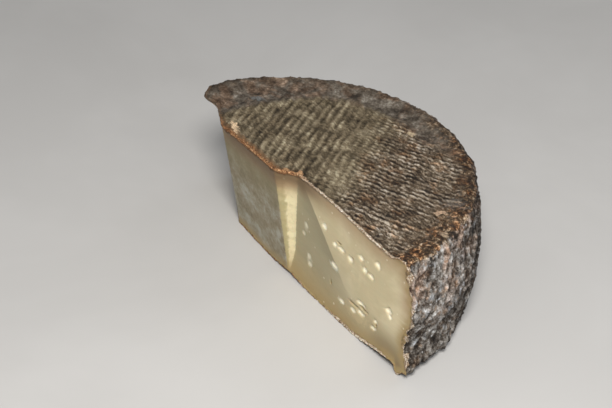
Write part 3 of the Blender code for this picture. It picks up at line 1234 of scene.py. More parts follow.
class Coat(Graph):
    """A material's graph, which also knows the place of each point, in millimetres."""

    def __init__(self, tree: bpy.types.NodeTree) -> None:
        """Start from an empty tree and read the place and its three parts.

        Args:
            tree: The material's node tree.
        """
        super().__init__(tree)
        inputs = {0: self.node("ShaderNodeTexCoord").outputs["Object"], "Scale": 1.0 / MM}
        self.place = self.node("ShaderNodeVectorMath", inputs, operation="SCALE").outputs[0]
        self.x, self.y, self.z = self.node("ShaderNodeSeparateXYZ", {0: self.place}).outputs

    def mottle(self, size: float, low: float, high: float, shift: float) -> Socket:
        """Give a patchy mask, 0 where its noise is under low and 1 over high."""
        return self.effect(Effects.mottle(), Vector=self.place, Size=size, Low=low, High=high, Shift=shift)

    def speckle(self, spacing: float, size: float, share: float) -> Socket:
        """Give a mask of scattered dots, of which a share is kept."""
        return self.effect(Effects.speckle(), Vector=self.place, Spacing=spacing, Size=size, Share=share)

    def mark(self, at: Point, mark: Mark, sizes: Point) -> Socket:
        """Give a mark's ragged oval mask, by its middle and its three half sizes.

        Args:
            at: Middle of the mark.
            mark: The mark.
            sizes: Its three half sizes.

        Returns:
            The mask.
        """
        turn = (0.0, 0.0, -math.radians(mark.turn))
        return self.effect(Effects.mark(), Vector=self.place, Place=at, Turn=turn, Sizes=sizes,
                           Ragged=mark.ragged)

    def grain(self, coarse: float, fine: float) -> Socket:
        """Give the height of a fine, crusty surface."""
        return self.effect(Effects.grain(), Vector=self.place, Coarse=coarse, Fine=fine)


def start_group(name: str, inputs: dict[str, str],
                output: str) -> tuple[Graph, dict[str, Socket], Socket]:
    """Start a shader node group with named sockets.

    Args:
        name: Name of the group.
        inputs: Kind of each input socket by its name.
        output: Name of the number that it puts out.

    Returns:
        The group's graph, its inputs by name, and the socket that takes what it puts out.
    """
    tree = bpy.data.node_groups.new(name, "ShaderNodeTree")
    for socket, kind in inputs.items():
        tree.interface.new_socket(socket, in_out="INPUT", socket_type=f"NodeSocket{kind}")
    tree.interface.new_socket(output, in_out="OUTPUT", socket_type="NodeSocketFloat")
    graph = Graph(tree)
    given = graph.node("NodeGroupInput").outputs
    result = graph.node("NodeGroupOutput").inputs[output]
    return graph, {socket: given[socket] for socket in inputs}, result


class Effects:
    """Shader node groups that the finishes share, each built once, when it is first asked for."""

    @staticmethod
    @cache
    def mottle() -> bpy.types.NodeTree:
        """Build the patchy mask: noise between two limits, whose distance sets how soft it is.

        Returns:
            The group.
        """
        inputs = {"Vector": "Vector", "Size": "Float", "Low": "Float", "High": "Float", "Shift": "Float"}
        graph, given, result = start_group("Mottle", inputs, "Mask")
        shifted = graph.vector("ADD", given["Vector"], given["Shift"])
        settings = {"Vector": shifted, "Scale": graph.math("DIVIDE", 1.0, given["Size"]), "Detail": 4.0,
                    "Roughness": 0.62, "Distortion": 0.35}
        source = graph.node("ShaderNodeTexNoise", settings).outputs["Fac"]
        graph.feed(result, graph.rise(source, given["Low"], given["High"]))
        return graph.tree

    @staticmethod
    @cache
    def speckle() -> bpy.types.NodeTree:
        """Build scattered dots of uneven size: the middles of cells, of which only a share is kept.

        Returns:
            The group.
        """
        inputs = {"Vector": "Vector", "Spacing": "Float", "Size": "Float", "Share": "Float"}
        graph, given, result = start_group("Speckle", inputs, "Mask")
        scale = graph.math("DIVIDE", 1.0, given["Spacing"])
        cells = graph.node("ShaderNodeTexVoronoi", {"Vector": given["Vector"], "Scale": scale}).outputs
        chance = graph.node("ShaderNodeSeparateColor", {0: cells["Color"]}).outputs
        kept = graph.math("LESS_THAN", chance[0], given["Share"])
        ragged = graph.total(0.4, graph.times(graph.noise(given["Vector"], 1.4), 1.2))
        radius = graph.times(given["Size"], graph.total(0.5, chance[1]), ragged)
        dot = graph.rise(graph.math("DIVIDE", cells["Distance"], radius), 1.1, 0.6)
        graph.feed(result, graph.times(dot, kept))
        return graph.tree

    @staticmethod
    @cache
    def mark() -> bpy.types.NodeTree:
        """Build one ragged oval mark from its place, its turn and its half sizes.

        Returns:
            The group.
        """
        inputs = {name: "Vector" for name in ("Vector", "Place", "Turn", "Sizes")}
        inputs["Ragged"] = "Float"
        graph, given, result = start_group("Mark", inputs, "Mask")
        away = graph.vector("SUBTRACT", given["Vector"], given["Place"])
        turned = graph.node("ShaderNodeVectorRotate", {"Vector": away, "Rotation": given["Turn"]},
                            rotation_type="EULER_XYZ").outputs[0]
        reach = graph.vector("LENGTH", graph.vector("DIVIDE", turned, given["Sizes"]))
        border = graph.math("SUBTRACT", graph.noise(given["Vector"], 1.8, 3.0, 0.6), 0.5)
        reach = graph.math("MULTIPLY_ADD", border, given["Ragged"], reach)
        graph.feed(result, graph.rise(reach, 1.15, 0.7))
        return graph.tree

    @staticmethod
    @cache
    def grain() -> bpy.types.NodeTree:
        """Build the height of a fine, crusty surface from two noises of different size.

        Returns:
            The group.
        """
        graph, given, result = start_group("Grain", {"Vector": "Vector", "Coarse": "Float", "Fine": "Float"},
                                           "Height")
        coarse = graph.times(graph.noise(given["Vector"], 1.3, 4.0, 0.6), given["Coarse"])
        fine = graph.times(graph.noise(given["Vector"], 0.35, 3.0, 0.6), given["Fine"])
        graph.feed(result, graph.total(coarse, fine))
        return graph.tree


def start_material(name: str) -> tuple[bpy.types.Material, Coat]:
    """Start a material with a graph that holds only the place.

    Args:
        name: Name of the material.

    Returns:
        The material and its graph.
    """
    made = bpy.data.materials.new(name)
    made.use_nodes = True
    return made, Coat(made.node_tree)


def finish_material(coat: Coat, colour: Socket, roughness: object, height: Socket, bump: float,
                    settings: dict[str, object]) -> None:
    """Add the shader and the output of a material.

    Args:
        coat: The material's graph.
        colour: Colour over the surface.
        roughness: Roughness over the surface.
        height: Height of the fine relief, in millimetres.
        bump: Strength of that relief.
        settings: Plain values for other sockets of the shader.
    """
    normal = coat.node("ShaderNodeBump", {"Height": height, "Strength": bump, "Distance": MM})
    inputs = {"Base Color": colour, "Roughness": roughness, "Normal": normal.outputs["Normal"], **settings}
    shader = coat.node("ShaderNodeBsdfPrincipled", inputs)
    coat.node("ShaderNodeOutputMaterial", {"Surface": shader.outputs["BSDF"]})


@dataclass(frozen=True)
class RindFinish:
    """Dry natural rind: khaki ribs, grey-brown weave, smeared back, crusty lip and mouldy wall.

    Each area has a scale of colours from its deepest crevice (0) to its palest crest (1). The
    single colours multiply what is under them, but for `fleck` and `browned`, which cover it.
    """

    ribs: Scale = ((0.0, (0.022, 0.016, 0.009)), (0.32, (0.080, 0.060, 0.034)), (0.52, (0.165, 0.128, 0.078)),
                   (0.72, (0.270, 0.220, 0.140)), (1.0, (0.52, 0.46, 0.32)))
    weave: Scale = ((0.0, (0.010, 0.007, 0.005)), (0.30, (0.046, 0.031, 0.019)),
                    (0.50, (0.116, 0.083, 0.052)), (0.70, (0.230, 0.183, 0.130)), (1.0, (0.60, 0.52, 0.42)))
    back: Scale = ((0.0, (0.026, 0.020, 0.014)), (0.32, (0.068, 0.054, 0.040)), (0.52, (0.112, 0.092, 0.071)),
                   (0.75, (0.172, 0.148, 0.119)), (1.0, (0.33, 0.30, 0.25)))
    lip: Scale = ((0.0, (0.004, 0.003, 0.002)), (0.32, (0.022, 0.012, 0.006)), (0.52, (0.082, 0.048, 0.023)),
                  (0.72, (0.25, 0.160, 0.088)), (1.0, (0.74, 0.62, 0.46)))
    wall: Scale = ((0.0, (0.012, 0.009, 0.007)), (0.28, (0.072, 0.056, 0.044)), (0.48, (0.225, 0.205, 0.182)),
                   (0.68, (0.42, 0.400, 0.378)), (1.0, (0.84, 0.85, 0.86)))
    bead: Scale = ((0.0, (0.06, 0.030, 0.015)), (0.45, (0.27, 0.175, 0.105)), (0.75, (0.62, 0.52, 0.40)),
                   (1.0, (0.85, 0.78, 0.66)))
    rust: Colour = (1.12, 0.84, 0.62)
    ash: Colour = (1.14, 1.20, 1.30)
    pink: Colour = (1.22, 0.98, 0.84)
    lip_rust: Colour = (1.15, 0.80, 0.55)
    wall_blue: Colour = (0.88, 0.99, 1.15)
    wall_rust: Colour = (0.92, 0.66, 0.45)
    fleck: Colour = (0.70, 0.71, 0.72)
    wall_foot: Colour = (0.70, 0.67, 0.62)
    bend_shade: Colour = (0.62, 0.60, 0.58)
    tip_shade: Colour = (0.60, 0.56, 0.52)
    edge_shade: Colour = (0.40, 0.33, 0.26)
    browned: Colour = (0.200, 0.112, 0.056)
    mark_depth: float = 7.0
    marks: tuple[Mark, ...] = (
        Mark((6.0, 77.0), 2.6, 2.4, (0.480, 0.380, 0.250)),
        Mark((12.5, 82.0), 6.0, 2.6, (0.030, 0.022, 0.016), 0.85, 45.0),
        Mark((-69.7, 29.4), 4.2, 2.2, (0.170, 0.185, 0.185), 0.6, 40.0),
        Mark((-49.3, 1.4), 7.0, 2.0, (0.760, 0.560, 0.360), 0.85, -19.0),
        Mark((58.6, 21.2), 1.8, 1.3, (0.020, 0.015, 0.010)),
        Mark((48.9, 37.3), 2.4, 1.0, (0.020, 0.015, 0.010), 0.9, 30.0),
        Mark((52.1, 50.0), 3.0, 1.0, (0.025, 0.018, 0.013), 0.9, 24.0),
        Mark((58.1, 52.7), 2.6, 0.9, (0.025, 0.018, 0.013), 0.9, 24.0),
        Mark((70.9, 44.3), 3.0, 1.8, (0.620, 0.430, 0.290), 0.75, 60.0, 3.0),
        Mark((87.4, 32.3), 2.6, 2.0, (0.450, 0.340, 0.230), 0.7),
        Mark((70.0, 53.7), 8.0, 4.0, (0.200, 0.185, 0.165), 0.35, 24.0, 3.6),
        Mark((0.7, 24.8), 6.5, 3.0, (0.075, 0.056, 0.032), 0.5, 20.0),
        Mark((7.8, 4.6), 1.9, 1.3, (0.560, 0.330, 0.170), 0.8),
        Mark((1.0, 1.2), 2.2, 1.0, (0.420, 0.240, 0.120), 0.7, 40.0),
        Mark((96.5, 19.4), 3.0, 1.6, (0.016, 0.012, 0.009), 0.9, 60.0),
        Mark((88.4, 38.2), 2.6, 1.3, (0.016, 0.012, 0.009), 0.9, 60.0),
    )

    def print_value(self, coat: Coat) -> Socket:
        """Give the mat print's value, whose waves are broken into dashes and crumbs.

        Args:
            coat: The material's graph.

        Returns:
            The value, low in the grooves and high on the crests.
        """
        mat = MatPrint()
        share = coat.value(Value.SHARE)
        rib, weave = (coat.math("COSINE", coat.times(coat.value(value), 2.0 * math.pi))
                      for value in (Value.RIB, Value.WEAVE))
        waves = coat.total(coat.times(rib, coat.math("MULTIPLY_ADD", share, -0.11, 0.15)),
                           coat.times(weave, coat.math("MULTIPLY_ADD", share, 0.18, 0.02)))
        waves = coat.times(waves, coat.rise(coat.noise(coat.place, 8.0), 0.35, 0.62, 0.25, 1.3))
        dashes = coat.lumps(coat.stretch(coat.place, mat.rib_turn, 5.5, 1.5), 1.0, 1.2, 3.0, 0.62)
        rungs = coat.lumps(coat.stretch(coat.place, mat.weave_turn, 5.0, 1.2), 1.0, 1.7, 3.0, 0.62)
        streaks = coat.total(coat.times(dashes, coat.math("SUBTRACT", 1.0, share)),
                             coat.times(rungs, share))
        crumbs = coat.times(coat.lumps(coat.place, 0.8, 1.0, 3.0, 0.7),
                            coat.math("MULTIPLY_ADD", share, 0.5, 0.75))
        patches = coat.lumps(coat.place, 11.0, 1.05, 3.0)
        return coat.total(0.49, waves, streaks, crumbs, patches)

    def top_tone(self, coat: Coat, value: Socket) -> Socket:
        """Colour the print: khaki ribs, and rust and ash over the weave.

        Args:
            coat: The material's graph.
            value: Value of the mat's print.

        Returns:
            The tone.
        """
        share = coat.value(Value.SHARE)
        ribs, weave = coat.ramp(value, self.ribs), coat.ramp(value, self.weave)
        tone = coat.mix(coat.rise(share, 0.35, 1.0), ribs, weave)
        rust = coat.times(coat.mottle(9.0, 0.50, 0.68, 17.0), coat.rise(share, 0.2, 1.0, 0.1, 0.9))
        ash = coat.times(coat.mottle(9.0, 0.52, 0.68, 31.0), coat.rise(share, 0.0, 1.0, 0.3, 0.9))
        return coat.tint(ash, coat.tint(rust, tone, self.rust), self.ash)

    def back_tone(self, coat: Coat) -> Socket:
        """Colour the smeared ring between the print and the lip.

        Args:
            coat: The material's graph.

        Returns:
            The tone.
        """
        smears = coat.total(0.5, coat.lumps(coat.place, 5.5, 2.1, 3.0, 0.55),
                            coat.lumps(coat.place, 1.4, 1.2, 3.0, 0.6))
        pink = coat.mottle(12.0, 0.45, 0.62, 61.0)
        return coat.tint(pink, coat.ramp(smears, self.back), self.pink)

    def lip_tone(self, coat: Coat, angle: Socket, crumbs: Socket) -> Socket:
        """Colour the lip's dark crust, rusty beside the near end of the cut.

        Args:
            coat: The material's graph.
            angle: Angle round the wheel's axis.
            crumbs: Value of the fine crumbs, about 0.

        Returns:
            The tone.
        """
        lumps = coat.lumps(coat.place, 2.6, 2.6, 4.0, 0.7)
        crust = coat.total(0.50, lumps, crumbs, coat.times(coat.value(Value.RELIEF), 0.2))
        rusty = coat.times(coat.mottle(7.0, 0.44, 0.60, 83.0), coat.rise(angle, 1.7, 1.1))
        return coat.tint(rusty, coat.ramp(crust, self.lip), self.lip_rust)

    def wall_tone(self, coat: Coat, angle: Socket, crumbs: Socket) -> Socket:
        """Colour the wall: pale mould on the folds, dark crevices, pink under the lip, blue and rust, with
        painted shade on the band that turns from the lamps.

        Args:
            coat: The material's graph.
            angle: Angle round the wheel's axis.
            crumbs: Value of the fine crumbs, about 0.

        Returns:
            The tone.
        """
        # Painted shade: the wall darkens from about 0.3 rad round from the near end and lightens again past 1
        # rad, towards the back.
        limb_shade = coat.total(coat.rise(angle, 0.30, 0.80, 0.0, -0.27), coat.rise(angle, 1.0, 1.5, 0.0, 0.22))
        tufts = coat.lumps(coat.place, 3.6, 1.7, 3.0, 0.6)
        folds = coat.times(coat.value(Value.RELIEF), 0.13)
        lower = coat.rise(coat.z, 46.0, 12.0, 0.01, -0.12)
        value = coat.total(0.43, tufts, folds, coat.times(crumbs, 0.65), lower, limb_shade)
        pink = coat.times(coat.mottle(12.0, 0.42, 0.60, 47.0), coat.rise(coat.z, 20.0, 58.0))
        tone = coat.tint(pink, coat.ramp(value, self.wall), self.pink)
        tone = coat.tint(coat.times(coat.mottle(9.0, 0.52, 0.66, 29.0), 0.7), tone, self.wall_blue)
        tone = coat.tint(coat.times(coat.mottle(5.5, 0.52, 0.66, 71.0), 0.7), tone, self.wall_rust)
        flecks = coat.speckle(2.6, 0.26, 0.45)
        # The pale flecks thin out in that painted shade.
        flecks = coat.times(flecks, coat.mottle(10.0, 0.44, 0.60, 53.0),
                            coat.rise(limb_shade, -0.20, 0.0, 0.2, 0.75))
        tone = coat.mix(flecks, tone, self.fleck)
        return coat.tint(coat.rise(coat.z, 34.0, 6.0, 0.0, 0.6), tone, self.wall_foot)

    def edge_tone(self, coat: Coat, on_wall: Socket, crumbs: Socket, tone: Socket) -> Socket:
        """Lay the bead along the cut over a tone: shaded behind, browned by the step, thin at the far end.

        Args:
            coat: The material's graph.
            on_wall: How far the point belongs to the wall.
            crumbs: Value of the fine crumbs, about 0.
            tone: The tone so far.

        Returns:
            The tone.
        """
        caked = coat.times(coat.rise(coat.noise(coat.place, 7.0), 0.42, 0.60, 0.9, -1.9), on_wall)
        thick = coat.times(coat.rise(coat.x, *EDGE_THICK, 0.0, -1.1), coat.math("SUBTRACT", 1.0, on_wall))
        frayed = coat.total(coat.value(Value.EDGE), coat.lumps(coat.place, 2.4, 4.0, 4.0, 0.65), caked, thick)
        bead = coat.total(0.45, coat.times(crumbs, 1.8), coat.rise(coat.x, *EDGE_PALER, -0.06, 0.14))
        bead = coat.tint(coat.rise(coat.x, *EDGE_TINTED), coat.ramp(bead, self.bead), BEAD_TINT)
        shade = coat.times(coat.rise(frayed, 2.8, 1.6), coat.rise(frayed, 0.5, 1.1), 0.6)
        tone = coat.tint(shade, tone, self.edge_shade)
        browned = coat.times(coat.rise(frayed, 3.4, 1.4, 0.0, 0.65), coat.rise(coat.x, *EDGE_BROWNED),
                             coat.rise(coat.x, -66.0, -52.0))
        tone = coat.mix(browned, tone, self.browned)
        edged = coat.times(coat.rise(frayed, 0.9, 0.4), coat.rise(coat.x, -68.0, -54.0, 0.15, 1.0))
        return coat.mix(edged, tone, bead)

    def marked(self, coat: Coat, crumbs: Socket, tone: Socket) -> Socket:
        """Lay the marks of the top over a tone, each broken up by the crumbs.

        Args:
            coat: The material's graph.
            crumbs: Value of the fine crumbs, about 0.
            tone: The tone so far.

        Returns:
            The tone.
        """
        speckled = coat.total(1.0, coat.times(crumbs, 2.2))
        for mark in self.marks:
            at = (*mark.place, WheelForm().height)
            mask = coat.mark(at, mark, (mark.length, mark.width, self.mark_depth))
            tone = coat.mix(coat.times(mask, mark.strength), tone, coat.tint(1.0, mark.colour, speckled))
        return tone

    def build(self) -> bpy.types.Material:
        """Build the rind's material.

        Returns:
            The material.
        """
        made, coat = start_material("natural_rind")
        flat = coat.node("ShaderNodeCombineXYZ", {0: coat.x, 1: coat.y}).outputs[0]
        radius = coat.vector("LENGTH", flat)
        angle = coat.math("ARCTAN2", coat.y, coat.x)
        on_wall = coat.value(Value.WALL)
        crumbs = coat.lumps(coat.place, 0.85, 1.5, 3.0, 0.72)

        value = self.print_value(coat)
        tone = self.top_tone(coat, value)
        border = coat.total(radius, coat.lumps(coat.place, 6.0, 11.0, 3.0))
        behind = coat.total(border, coat.rise(angle, *MatPrint().near_angles, -11.0, 0.0),
                            coat.rise(coat.x, -48.0, -74.0, 0.0, 16.0))
        tone = coat.mix(coat.rise(behind, 75.0, 84.0), tone, self.back_tone(coat))
        inward = coat.total(border, coat.rise(angle, 0.40, 0.85, 2.5, -3.0))
        at_lip = coat.times(coat.rise(inward, 83.0, 91.0), coat.rise(angle, 1.8, 1.2, 0.15, 0.9))
        tone = coat.mix(at_lip, tone, self.lip_tone(coat, angle, crumbs))
        walled = coat.rise(coat.total(on_wall, coat.lumps(coat.place, 3.0, 1.7, 3.0)), 0.25, 0.75)
        tone = coat.mix(walled, tone, self.wall_tone(coat, angle, crumbs))

        bend = coat.times(coat.rise(angle, 0.45, 0.75), coat.rise(angle, 1.7, 1.3),
                          coat.rise(radius, 86.0, 94.0, 0.0, 0.6))
        tone = coat.tint(bend, tone, self.bend_shade)
        tone = coat.tint(coat.rise(coat.x, -76.0, -92.0, 0.0, 0.8), tone, self.tip_shade)
        tone = self.edge_tone(coat, on_wall, crumbs, tone)
        tone = self.marked(coat, crumbs, tone)
        grain = coat.grain(0.8, 0.45)
        height = coat.total(grain, coat.times(value, 0.5))
        finish_material(coat, tone, 0.86, height, 0.9, {"Specular IOR Level": 0.3})
        return made


@dataclass(frozen=True)
class PasteFinish:
    """Ivory paste, browner under the rind, with the rind's own edge round it."""

    paste: Colour = (0.595, 0.505, 0.310)
    cream: Colour = (0.690, 0.595, 0.385)
    # Olive tone low down on the upright stroke, also laid as painted shade under the crease.
    cool_and_crease_shade: Colour = (0.368, 0.321, 0.197)
    foot: Colour = (0.200, 0.140, 0.068)
    crease_shade: Colour = (0.62, 0.62, 0.60)
    # The leaning stroke's scale, far darker than the ivory paste: greyer paste, and painted shade on its
    # overhang.
    stroke: Scale = ((0.0, (0.175, 0.135, 0.070)), (0.40, (0.260, 0.215, 0.130)),
                     (0.65, (0.325, 0.285, 0.200)), (1.0, (0.430, 0.415, 0.340)))
    stroke_top: Colour = (0.265, 0.222, 0.115)
    # The facet's colour, paler than the paste: painted light where the facet turns to the lamp.
    facet: Colour = (0.770, 0.670, 0.415)
    facet_shade: Colour = (0.38, 0.32, 0.155)
    facet_torn: Colour = (0.56, 0.48, 0.28)
    facet_top: Colour = (0.42, 0.28, 0.15)
    dragged: Colour = (0.80, 0.81, 0.82)
    brown: Colour = (0.400, 0.275, 0.155)
    gold: Colour = (0.370, 0.265, 0.115)
    umber: Colour = (0.160, 0.102, 0.050)
    # Dark line under the rind's edge: the rind's own dark edge, and painted shadow under the proud bead.
    line: Colour = (0.120, 0.068, 0.032)
    bead: Scale = ((0.0, (0.07, 0.035, 0.016)), (0.45, (0.33, 0.225, 0.140)), (0.75, (0.68, 0.58, 0.44)),
                   (1.0, (0.88, 0.82, 0.70)))
    far_bead: Colour = (0.090, 0.074, 0.050)
    # Eyes: paler paste in the holes, and painted light caught in them. Cracks: painted shade inside them.
    eye: Colour = (0.950, 0.895, 0.700)
    crack: Colour = (0.250, 0.160, 0.050)
    border: float = 0.15
    smudge_depth: float = 40.0
    smudges: tuple[Mark, ...] = (
        Mark((31.0, 51.5), 3.4, 2.4, (0.80, 0.72, 0.50), 0.35),
        Mark((40.6, 45.0), 2.4, 1.8, (0.82, 0.74, 0.52), 0.45),
        Mark((40.5, 32.0), 4.0, 2.2, (0.66, 0.66, 0.54), 0.55, -30.0),
        Mark((47.0, 13.9), 3.4, 1.8, (0.72, 0.68, 0.50), 0.45),
        Mark((16.4, 20.0), 3.0, 4.2, (0.66, 0.62, 0.46), 0.45),
        Mark((14.0, 40.0), 2.2, 3.0, (0.64, 0.60, 0.45), 0.35),
        Mark((60.0, 15.0), 9.0, 5.0, (0.62, 0.50, 0.27), 0.35),
    )

    def past_corner(self, coat: Coat, corner: int) -> Socket:
        """Give how far a place lies towards the near end from a corner of the cut.

        Args:
            coat: The material's graph.
            corner: The corner's rank, counted from the near end.

        Returns:
            The distance in millimetres, negative towards the far end.
        """
        cut = CutForm()
        base_x = cut.base_stops[corner][0]
        lean = (cut.top_stops[corner][0] - base_x) / cut.height
        return coat.total(coat.x, coat.math("MULTIPLY_ADD", coat.z, -lean, -base_x))

    def near_tone(self, coat: Coat) -> Socket:
        """Colour the upright stroke: ivory, cooler low down, browned at its foot, with painted shade under
        the crease.

        Args:
            coat: The material's graph.

        Returns:
            The tone.
        """
        tone = coat.mix(coat.mottle(30.0, 0.42, 0.62, 9.0), self.paste, self.cream)
        low = coat.times(coat.rise(coat.z, 46.0, 24.0), coat.rise(coat.x, 74.0, 26.0), 0.75)
        tone = coat.mix(low, tone, self.cool_and_crease_shade)
        tone = coat.mix(coat.rise(coat.z, 34.0, 10.0, 0.0, 0.55), tone, self.cool_and_crease_shade)
        tone = coat.mix(coat.rise(coat.z, 26.0, 2.0, 0.0, 0.75), tone, self.gold)
        foot = coat.times(coat.rise(coat.z, 26.0, 4.0, 0.0, 0.9), coat.rise(coat.x, 64.0, 86.0))
        tone = coat.mix(foot, tone, self.foot)
        # Painted shade below the crease, where the face tilts from the lamps: an olive mix, then a darker
        # tint.
        crease = coat.value(Value.CREASE)
        below = coat.rise(crease, -0.3, 0.5)
        tone = coat.mix(coat.times(below, coat.rise(coat.z, 20.0, 38.0), 0.85), tone, self.cool_and_crease_shade)
        shade = coat.times(below, coat.rise(crease, 15.0, 0.0), coat.rise(coat.z, 22.0, 36.0), 0.45)
        return coat.tint(shade, tone, self.crease_shade)

    def far_tone(self, coat: Coat) -> Socket:
        """Colour the leaning stroke: smeared, paler low down, darker than the upright stroke by greyer paste
        and painted shade.

        Args:
            coat: The material's graph.

        Returns:
            The tone.
        """
        smears, crumbs = coat.lumps(coat.place, 11.0, 1.6, 3.0), coat.lumps(coat.place, 2.6, 1.4, 4.0, 0.65)
        value = coat.total(smears, crumbs, coat.rise(coat.z, 30.0, 56.0, 0.62, 0.30))
        # The darkness of this scale is partly painted shade on the overhanging stroke.
        tone = coat.ramp(value, self.stroke)
        return coat.mix(coat.rise(coat.z, 36.0, 58.0, 0.0, 0.6), tone, self.stroke_top)

    def step_tone(self, coat: Coat, past_near: Socket, past_far: Socket) -> Socket:
        """Colour the step between the strokes: a pale facet, its paleness partly painted light, with painted
        shade on one side and browned at the top.

        Args:
            coat: The material's graph.
            past_near: Distance past the step's near corner.
            past_far: Distance past the step's far corner.

        Returns:
            The tone.
        """
        width = coat.math("SUBTRACT", past_far, past_near)
        along = coat.total(coat.math("DIVIDE", past_far, width), coat.lumps(coat.place, 3.0, 0.4, 3.0))
        # Painted light on the pale facet, painted shade on its shaded side.
        tone = coat.mix(coat.rise(along, 0.50, 0.28, 0.0, 0.85), self.facet, self.facet_shade)
        torn = coat.rise(coat.noise(coat.place, 3.2, 4.0, 0.6), 0.48, 0.68, 0.0, 0.4)
        tone = coat.mix(torn, tone, self.facet_torn)
        tone = coat.mix(coat.rise(coat.z, 50.0, 64.0, 0.0, 0.85), tone, self.facet_top)
        return coat.mix(coat.rise(coat.z, 22.0, 4.0, 0.0, 0.5), tone, self.gold)

    def areas(self, coat: Coat) -> Socket:
        """Colour the two strokes and the step between them.

        Args:
            coat: The material's graph.

        Returns:
            The tone.
        """
        past_near, past_far = (self.past_corner(coat, corner) for corner in (1, 2))
        step = self.step_tone(coat, past_near, past_far)
        tone = coat.mix(coat.rise(past_near, self.border, -self.border), self.near_tone(coat), step)
        return coat.mix(coat.rise(past_far, self.border, -self.border), tone, self.far_tone(coat))

    def crisp_depth(self, coat: Coat, depth: Socket, upper: Socket) -> Socket:
        """Give the depth that borders the rind's edge: ragged, and less where that edge is thick.

        Args:
            coat: The material's graph.
            depth: Depth under the nearest rind.
            upper: Share of the cut's upper part, from 0 to 1.

        Returns:
            The depth in millimetres.
        """
        thick = coat.times(coat.rise(coat.x, *EDGE_THICK, 0.0, -1.15), upper)
        crisp = coat.total(depth, coat.lumps(coat.place, 2.4, 4.5, 4.0, 0.65), thick,
                           coat.rise(coat.x, 84.0, 92.0, 0.0, 0.7))
        caked = coat.times(coat.rise(coat.x, 30.0, 50.0, 0.0, -1.0), coat.rise(coat.z, 14.0, 6.0))
        crisp = coat.math("MULTIPLY_ADD", coat.rise(coat.x, 88.0, 80.0), caked, crisp)
        soled = coat.times(coat.rise(coat.x, 84.0, 90.0, 0.0, -1.3), coat.rise(coat.z, 3.5, 1.2))
        return coat.total(crisp, soled)

    def smudged(self, coat: Coat, tone: Socket) -> Socket:
        """Lay the knife's drag and the pale smudges over a tone.

        Args:
            coat: The material's graph.
            tone: The tone so far.

        Returns:
            The tone.
        """
        drag = coat.noise(coat.stretch(coat.place, 0.0, 9.0, 1.6), 1.0, 3.0, 0.55)
        tone = coat.tint(coat.rise(drag, 0.42, 0.68, 0.0, 0.20), tone, self.dragged)
        for mark in self.smudges:
            at = (mark.place[0], 3.0, mark.place[1])
            mask = coat.mark(at, mark, (mark.length, self.smudge_depth, mark.width))
            tone = coat.mix(coat.times(mask, mark.strength), tone, mark.colour)
        return tone

    def browned(self, coat: Coat, depth: Socket, upper: Socket, tone: Socket) -> Socket:
        """Brown a tone under the rind: brown above, gold below, dark by the step and gold by the near wall.

        Args:
            coat: The material's graph.
            depth: Depth under the nearest rind.
            upper: Share of the cut's upper part, from 0 to 1.
            tone: The tone so far.

        Returns:
            The tone.
        """
        soft = coat.total(depth, coat.lumps(coat.place, 7.0, 4.0, 3.0))
        tone = coat.mix(coat.times(coat.rise(soft, 14.0, 1.0, 0.0, 0.85), upper), tone, self.brown)
        lower = coat.math("SUBTRACT", 1.0, upper)
        tone = coat.mix(coat.times(coat.rise(soft, 9.0, 1.0, 0.0, 0.9), lower), tone, self.gold)
        by_step = coat.times(coat.rise(soft, 15.0, 4.0, 0.0, 0.92), coat.rise(coat.x, 40.0, 10.0),
                             coat.rise(coat.x, -66.0, -44.0, 0.2, 1.0), upper)
        tone = coat.mix(by_step, tone, self.umber)
        by_wall = coat.times(coat.rise(soft, 5.5, 0.6, 0.0, 0.8), coat.rise(coat.x, 84.0, 91.0))
        return coat.mix(by_wall, tone, self.gold)

    def eyed(self, coat: Coat, tone: Socket) -> Socket:
        """Lay the pale eyes, partly painted light, the cracks darkened with painted shade, and small pale
        specks over a tone.

        Args:
            coat: The material's graph.
            tone: The tone so far.

        Returns:
            The tone.
        """
        eye = coat.value(Value.EYE)
        pale = coat.times(coat.rise(eye, 0.05, 0.85), coat.rise(coat.x, 12.0, 34.0, 0.40, 0.88))
        # Painted light in the eyes, then painted shade in the cracks.
        tone = coat.mix(pale, tone, self.eye)
        tone = coat.mix(coat.rise(eye, -0.15, -0.7, 0.0, 0.85), tone, self.crack)
        specks = coat.speckle(5.0, 0.11, 0.5)
        return coat.mix(coat.times(specks, coat.rise(coat.x, 0.0, 30.0, 0.05, 0.4)), tone, self.eye)

    def edged(self, coat: Coat, crisp: Socket, upper: Socket, tone: Socket) -> Socket:
        """Lay the rind's edge over a tone, with a broken dark line under it: the rind's dark edge and painted
        shadow under the proud bead.

        Args:
            coat: The material's graph.
            crisp: Depth that borders the rind's edge.
            upper: Share of the cut's upper part, from 0 to 1.
            tone: The tone so far.

        Returns:
            The tone.
        """
        crumbs = coat.lumps(coat.place, 1.2, 2.8, 3.0, 0.7)
        bead = coat.ramp(coat.total(0.50, crumbs, coat.rise(coat.x, *EDGE_PALER, -0.08, 0.10)), self.bead)
        bead = coat.tint(coat.rise(coat.x, *EDGE_TINTED), bead, BEAD_TINT)
        bead = coat.mix(coat.rise(coat.x, -52.0, -66.0, 0.0, 0.9), bead, self.far_bead)
        broken = coat.math("MAXIMUM", coat.rise(coat.noise(coat.place, 3.5, 3.0), 0.40, 0.58),
                           coat.rise(coat.x, *EDGE_BROWNED))
        # Partly painted shadow under the bead, strongest on the upper edge.
        under = coat.times(coat.rise(crisp, 2.0, 0.9), coat.math("MULTIPLY_ADD", upper, 0.5, 0.3), broken)
        tone = coat.mix(under, tone, self.line)
        return coat.mix(coat.rise(crisp, 1.05, 0.65), tone, bead)

